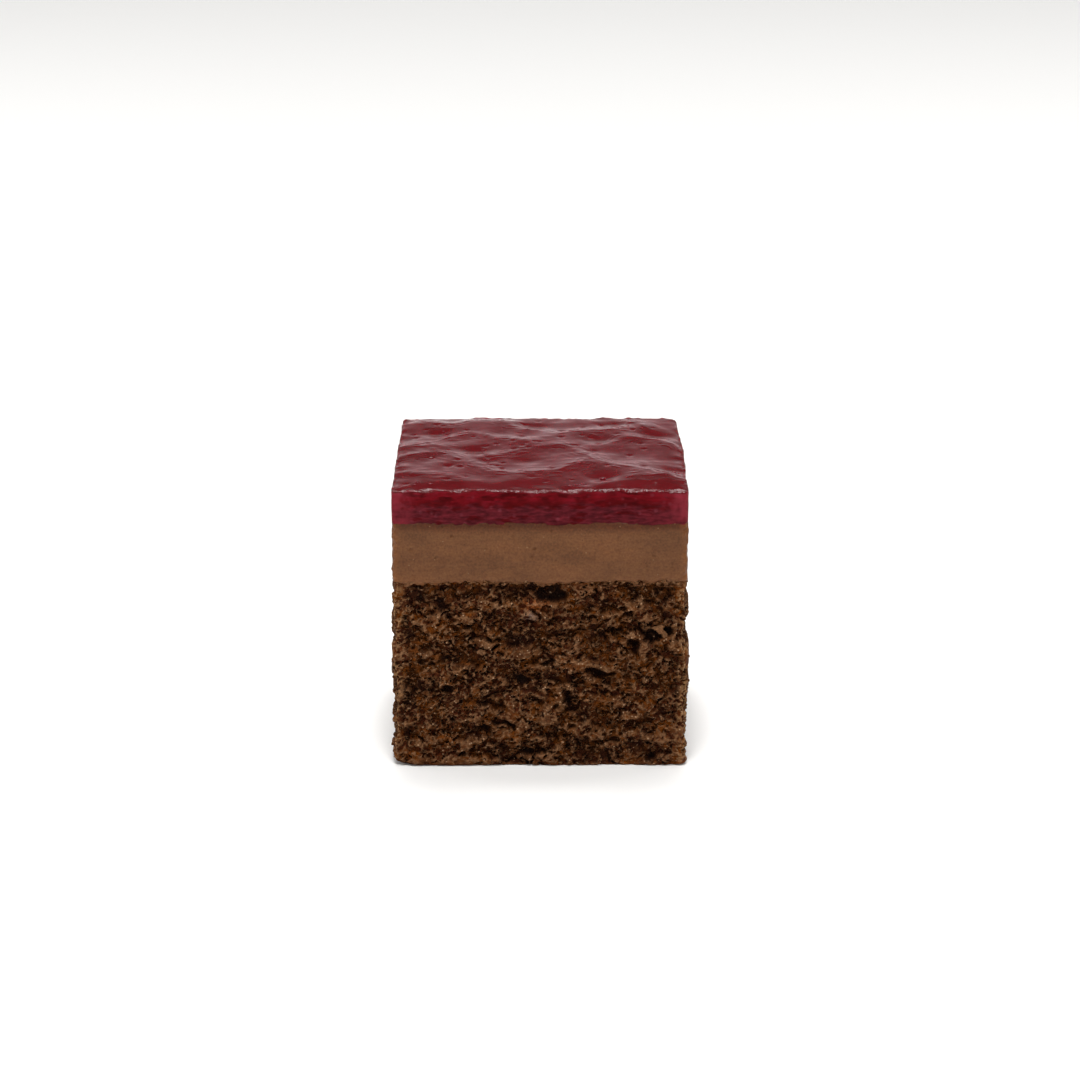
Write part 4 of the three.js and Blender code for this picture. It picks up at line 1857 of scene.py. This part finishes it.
@dataclass
class Flakes:
    """Small torn flakes and crumbs that stand out of the cut sponge, joined in one mesh."""

    sponge: Sponge
    count: int = 1600
    along_top: int = 420  # how many of them lie along the sponge's upper edge
    smallest: float = 0.08  # half length
    largest: float = 0.26  # half length of those strewn by chance
    widest: float = 0.4  # half width
    thickest: float = 0.14  # half thickness
    top_lean: float = 0.15  # share of the lean of others that those along the upper edge have
    clear_of_edge: float = 0.8  # distance that they keep from the upright edges
    # Those that the photograph shows, by middle, half length and lean
    placed: tuple[Four, ...] = (
        (13.8, 17.15, 0.4, -0.3),
        (14.3, 16.95, 0.6, -0.75),
        (14.5, 17.25, 0.32, 0.4),
        (14.9, 16.35, 0.48, -0.95),
    )
    seed: int = 5

    def build(self, finish: Material) -> Piece:
        """Strews the flakes over all four sides.

        Args:
            finish: Material of the crumb.

        Returns:
            The piece.
        """
        draw = np.random.default_rng(self.seed)
        strip = self.sponge.strip
        rows = strip.shape[0]
        lowest, highest = 4, rows - 12  # rows clear of the foot and of the mousse
        row = draw.integers(lowest, highest, self.count)
        under_mousse = slice(0, self.along_top)
        nearest, furthest = 4, 9  # rows below the top for those along the upper edge
        row[under_mousse] = rows - draw.integers(nearest, furthest, self.along_top)
        inner = np.flatnonzero(strip.from_edge()[0] > self.clear_of_edge)
        column = draw.choice(inner, self.count)
        rays = strip.trace()[1][column]
        out = np.concatenate([rays, np.zeros((self.count, 1))], axis=1)
        along = np.stack([-out[:, 1], out[:, 0], out[:, 2]], axis=1)
        rise = np.broadcast_to([0.0, 0.0, 1.0], out.shape)
        lean = draw.uniform(0, np.pi, (self.count, 1))
        lean[under_mousse] *= self.top_lean
        size = np.exp(draw.uniform(np.log(self.smallest), np.log(self.largest), (self.count, 1)))
        centres = self.sponge.surface[row, column]
        own = {name: self.sponge.marks[name][row, column] for name in CRUMB_MARKS}
        own["crest"][under_mousse], own["pit_shade"][under_mousse] = 1.0, 0.0
        own["strand"][under_mousse] = draw.uniform(0.3, 1.0, self.along_top)
        edge_depth = draw.uniform(-0.05, 0.25, (self.along_top, 1))
        outline = np.concatenate([strip.trace()[0][column], strip.heights[row]], axis=1)
        centres[under_mousse] = outline[under_mousse] - out[under_mousse] * edge_depth
        half = strip.side / 2
        for k, (x, z, length, tilt) in enumerate(self.placed, start=self.along_top):
            out[k], along[k] = (0.0, -1.0, 0.0), (1.0, 0.0, 0.0)
            lean[k], size[k], centres[k] = tilt, length, (x, 0.1 - half, z)
            own["crest"][k], own["pit_shade"][k], own["strand"][k] = 1.0, 0.0, 0.6
        first = np.cos(lean) * along + np.sin(lean) * rise
        second = np.cos(lean) * rise - np.sin(lean) * along
        wide = np.minimum(0.7 * size, self.widest)
        thick = np.minimum(0.5 * size, self.thickest)
        axes = np.stack([first * size, second * wide, out * thick], axis=1)
        lumps = Lumps(roughness=0.2)
        points = lumps.points(centres, axes, draw)
        marks = {name: np.repeat(values, len(lumps.sphere())) for name, values in own.items()}
        piece = make_piece("sponge_flakes", points, lumps.faces(self.count), [finish], marks)
        return piece


@dataclass
class Blisters:
    """Bubbles under the jelly's skin, each with a lip round it, paler as a painted highlight."""

    jelly: Jelly  # the jelly that they are in
    flatness: float = 0.45  # height of a bubble over its width
    highlight_lip: float = 0.16  # half thickness of a lip over the bubble's radius
    lip_lift: float = 0.05  # how high a lip's middle lies, over that radius
    # Middles and radii of the bubbles that the photograph shows
    places: tuple[tuple[float, float, float], ...] = (
        (7.5, -12.2, 0.36),
        (16.1, -9.2, 0.26),
        (16.5, -9.9, 0.18),
        (4.4, -15.6, 0.28),
        (5.1, -15.2, 0.2),
        (3.6, -15.9, 0.22),
        (-14.5, -14.9, 0.28),
        (-14.9, -15.6, 0.2),
        (-13.0, -15.6, 0.2),
        (-6.3, -4.2, 0.2),
        (-7.0, 1.0, 0.18),
        (-5.2, 2.3, 0.16),
        (11.0, 12.0, 0.16),
        (-12.0, 9.8, 0.16),
    )
    seed: int = 9  # start of the draws

    def middles(self) -> tuple[Array, Array]:
        """Middles of the bubbles, n by 3, on the jelly's top, and their radii."""
        x, y, radius = np.array(self.places).T
        return np.stack([x, y, self.jelly.levels.jelly_top + self.jelly.waves(x, y)], axis=1), radius

    def build(self, finish: Material) -> Piece:
        """Sets each bubble half into the jelly.

        Args:
            finish: Material of the jelly's skin.

        Returns:
            The piece.
        """
        centres, radius = self.middles()
        axes = np.diag([1.0, 1.0, self.flatness])[None] * radius[:, None, None]
        lumps = Lumps(columns=20, rings=11, roughness=0.0)
        points = lumps.points(centres, axes, np.random.default_rng(self.seed))
        marks = {"dip": np.ones(len(points)), "swell": np.zeros(len(points))}
        piece = make_piece("jelly_blisters", points, lumps.faces(len(radius)), [finish], marks)
        return piece

    def build_rings(self, finish: Material) -> Piece:
        """Lays a lip round each bubble, a ring of round section, paler as a painted highlight.

        Args:
            finish: Material of the lips.

        Returns:
            The piece.
        """
        centres, radius = self.middles()
        centres[:, 2] += self.lip_lift * radius
        columns, rows, thickness = 24, 8, self.highlight_lip
        round_at = np.linspace(0, 2 * np.pi, columns, endpoint=False)
        over = np.linspace(0, 2 * np.pi, rows, endpoint=False)
        reach = 1 + thickness * np.cos(over)[:, None]
        ring = np.stack(
            [
                reach * np.cos(round_at)[None],
                reach * np.sin(round_at)[None],
                np.broadcast_to(thickness * np.sin(over)[:, None], (rows, columns)),
            ],
            axis=-1,
        )
        points = (centres[:, None, None] + radius[:, None, None, None] * ring[None]).reshape(-1, 3)
        ids = np.arange(rows * columns).reshape(rows, columns)
        ids = np.pad(ids, ((0, 1), (0, 1)), mode="wrap")
        share = 1 / len(radius)
        patches = [
            quilt(ids + k * rows * columns, Frame2D(0.01, share * (k + 0.1), 0.99, share * (k + 0.9)))
            for k in range(len(radius))
        ]
        marks = {name: np.zeros(len(points)) for name in ("dip", "swell")}
        piece = make_piece("jelly_blister_highlight_lips", points, patches, [finish], marks)
        return piece


@dataclass(frozen=True)
class Softbox:
    """A soft light that faces the cake, with its middle and sizes in metres."""

    name: str
    place: tuple[float, float, float]
    width: float
    height: float
    watts: float

    def hang(self) -> None:
        """Adds the light to the scene."""
        data = bpy.data.lights.new(self.name, "AREA")
        data.shape = "RECTANGLE"
        data.size, data.size_y = self.width, self.height
        data.energy = self.watts
        lamp = bpy.data.objects.new(self.name, data)
        lamp.location = self.place
        x, y, z = self.place
        lamp.rotation_euler = (math.atan2(math.hypot(x, y), z), 0.0, math.atan2(x, -y))
        bpy.context.scene.collection.objects.link(lamp)


@dataclass(frozen=True)
class Studio:
    """Camera, soft light and a pale floor."""

    distance: float = 504.4  # from the camera to the point that its height and distance were fitted from
    elevation: float = 15.126  # angle of that line above the floor, in degrees
    pitch: float = 14.407  # how far the camera looks down, in degrees
    aim: float = 17.0  # height of that point
    lens: float = 136.27  # focal length of the camera
    sensor: float = 36.0  # width of its sensor
    horizon: float = 0.88  # strength of the room's light at the horizon
    zenith: float = 0.06  # its strength overhead
    falling: float = 3.2  # power by which it falls off between them
    floor_reach: float = 6.0  # half width of the floor, in metres
    paper: str = "#f4f3f1"  # colour of the floor
    lights: tuple[Softbox, ...] = (
        Softbox("overhead", (0.0, -0.3, 0.85), 0.2, 0.35, 6.5),
        Softbox("front", (-0.3, -0.9, 0.5), 0.5, 0.5, 1.4),
        Softbox("behind", (0.0, 0.8, 1.9), 1.0, 1.0, 22.0),
        Softbox("left", (-0.7, 0.35, 0.3), 0.3, 0.4, 1.6),
        Softbox("right", (0.7, 0.35, 0.3), 0.3, 0.4, 1.6),
    )

    def camera(self) -> None:
        """Stands the camera where the photograph was taken from."""
        data = bpy.data.cameras.new("camera")
        data.lens = self.lens
        data.sensor_width = self.sensor
        data.clip_start, data.clip_end = 0.01, 50.0
        eye = bpy.data.objects.new("camera", data)
        rise = math.radians(self.elevation)
        back, up = self.distance * math.cos(rise), self.aim + self.distance * math.sin(rise)
        eye.location = (0.0, -back * MM, up * MM)
        eye.rotation_euler = (math.radians(90.0 - self.pitch), 0.0, 0.0)
        bpy.context.scene.collection.objects.link(eye)
        bpy.context.scene.camera = eye

    def floor(self) -> None:
        """Lays a wide pale floor of matte white paper, which throws soft light up at the cake."""
        mesh = bpy.data.meshes.new("floor")
        corners = [(x * self.floor_reach, y * self.floor_reach, 0.0) for x, y in SQUARE]
        mesh.from_pydata(corners, [], [range(len(corners))])
        material, tree = new_material("white_paper")
        paper = {"Base Color": linear(self.paper), "Roughness": 0.9, "Specular IOR Level": 0.1}
        shader = add(tree, "BsdfPrincipled", paper)
        add(tree, "OutputMaterial", {"Surface": shader.outputs["BSDF"]})
        mesh.materials.append(material)
        floor = bpy.data.objects.new("floor", mesh)
        bpy.context.scene.collection.objects.link(floor)

    def world(self) -> None:
        """Fills the room with pale light that is strongest near the floor."""
        world = bpy.data.worlds.new("room")
        world.use_nodes = True
        tree = world.node_tree
        tree.nodes.clear()
        direction = add(tree, "TexCoord").outputs["Generated"]
        rise = add(tree, "SeparateXYZ", {"Vector": direction}).outputs["Z"]
        below = add(tree, "MapRange", (rise, 0.0, 1.0, 1.0, 0.0)).outputs[0]
        falling = add(tree, "Math", (below, self.falling), operation="POWER").outputs[0]
        glow = add(tree, "MapRange", (falling, 0.0, 1.0, self.zenith, self.horizon)).outputs[0]
        back = add(tree, "Background", {"Strength": glow})
        add(tree, "OutputWorld", {"Surface": back.outputs[0]})
        bpy.context.scene.world = world

    def build(self) -> None:
        """Sets up the whole studio."""
        self.camera()
        self.floor()
        self.world()
        for light in self.lights:
            light.hang()
        bpy.context.scene.view_settings.view_transform = "Standard"


def main() -> None:
    """Builds the studio and the cake's layers in order, and reports each piece."""
    logging.basicConfig(level=logging.INFO, format="%(message)s")
    levels = Levels.from_frame()
    Studio().build()
    crumb = CrumbFinish().material()
    sponge = Sponge(levels)
    pieces = sponge.build(crumb)
    pieces.append(Flakes(sponge).build(crumb))
    pieces.append(Mousse(levels).build(MousseFinish().material()))
    skin = JellyTopFinish().material()
    jelly = Jelly(levels)
    pieces.append(jelly.build(skin, JellyCutFinish().material()))
    blisters = Blisters(jelly)
    pieces.append(blisters.build(skin))
    # painted highlight: paler pink of the lips, for the ring of light on each bubble
    highlight_lip = "#7c2c36"
    pieces.append(blisters.build_rings(JellyTopFinish(clear=highlight_lip, murky=highlight_lip, pulp=highlight_lip, milky_glow=highlight_lip).material()))
    for piece in pieces:
        triangles = len(piece.data.loops) - 2 * len(piece.data.polygons)
        log.info("%s: %d triangles", piece.name, triangles)


if __name__ == "__main__":
    main()
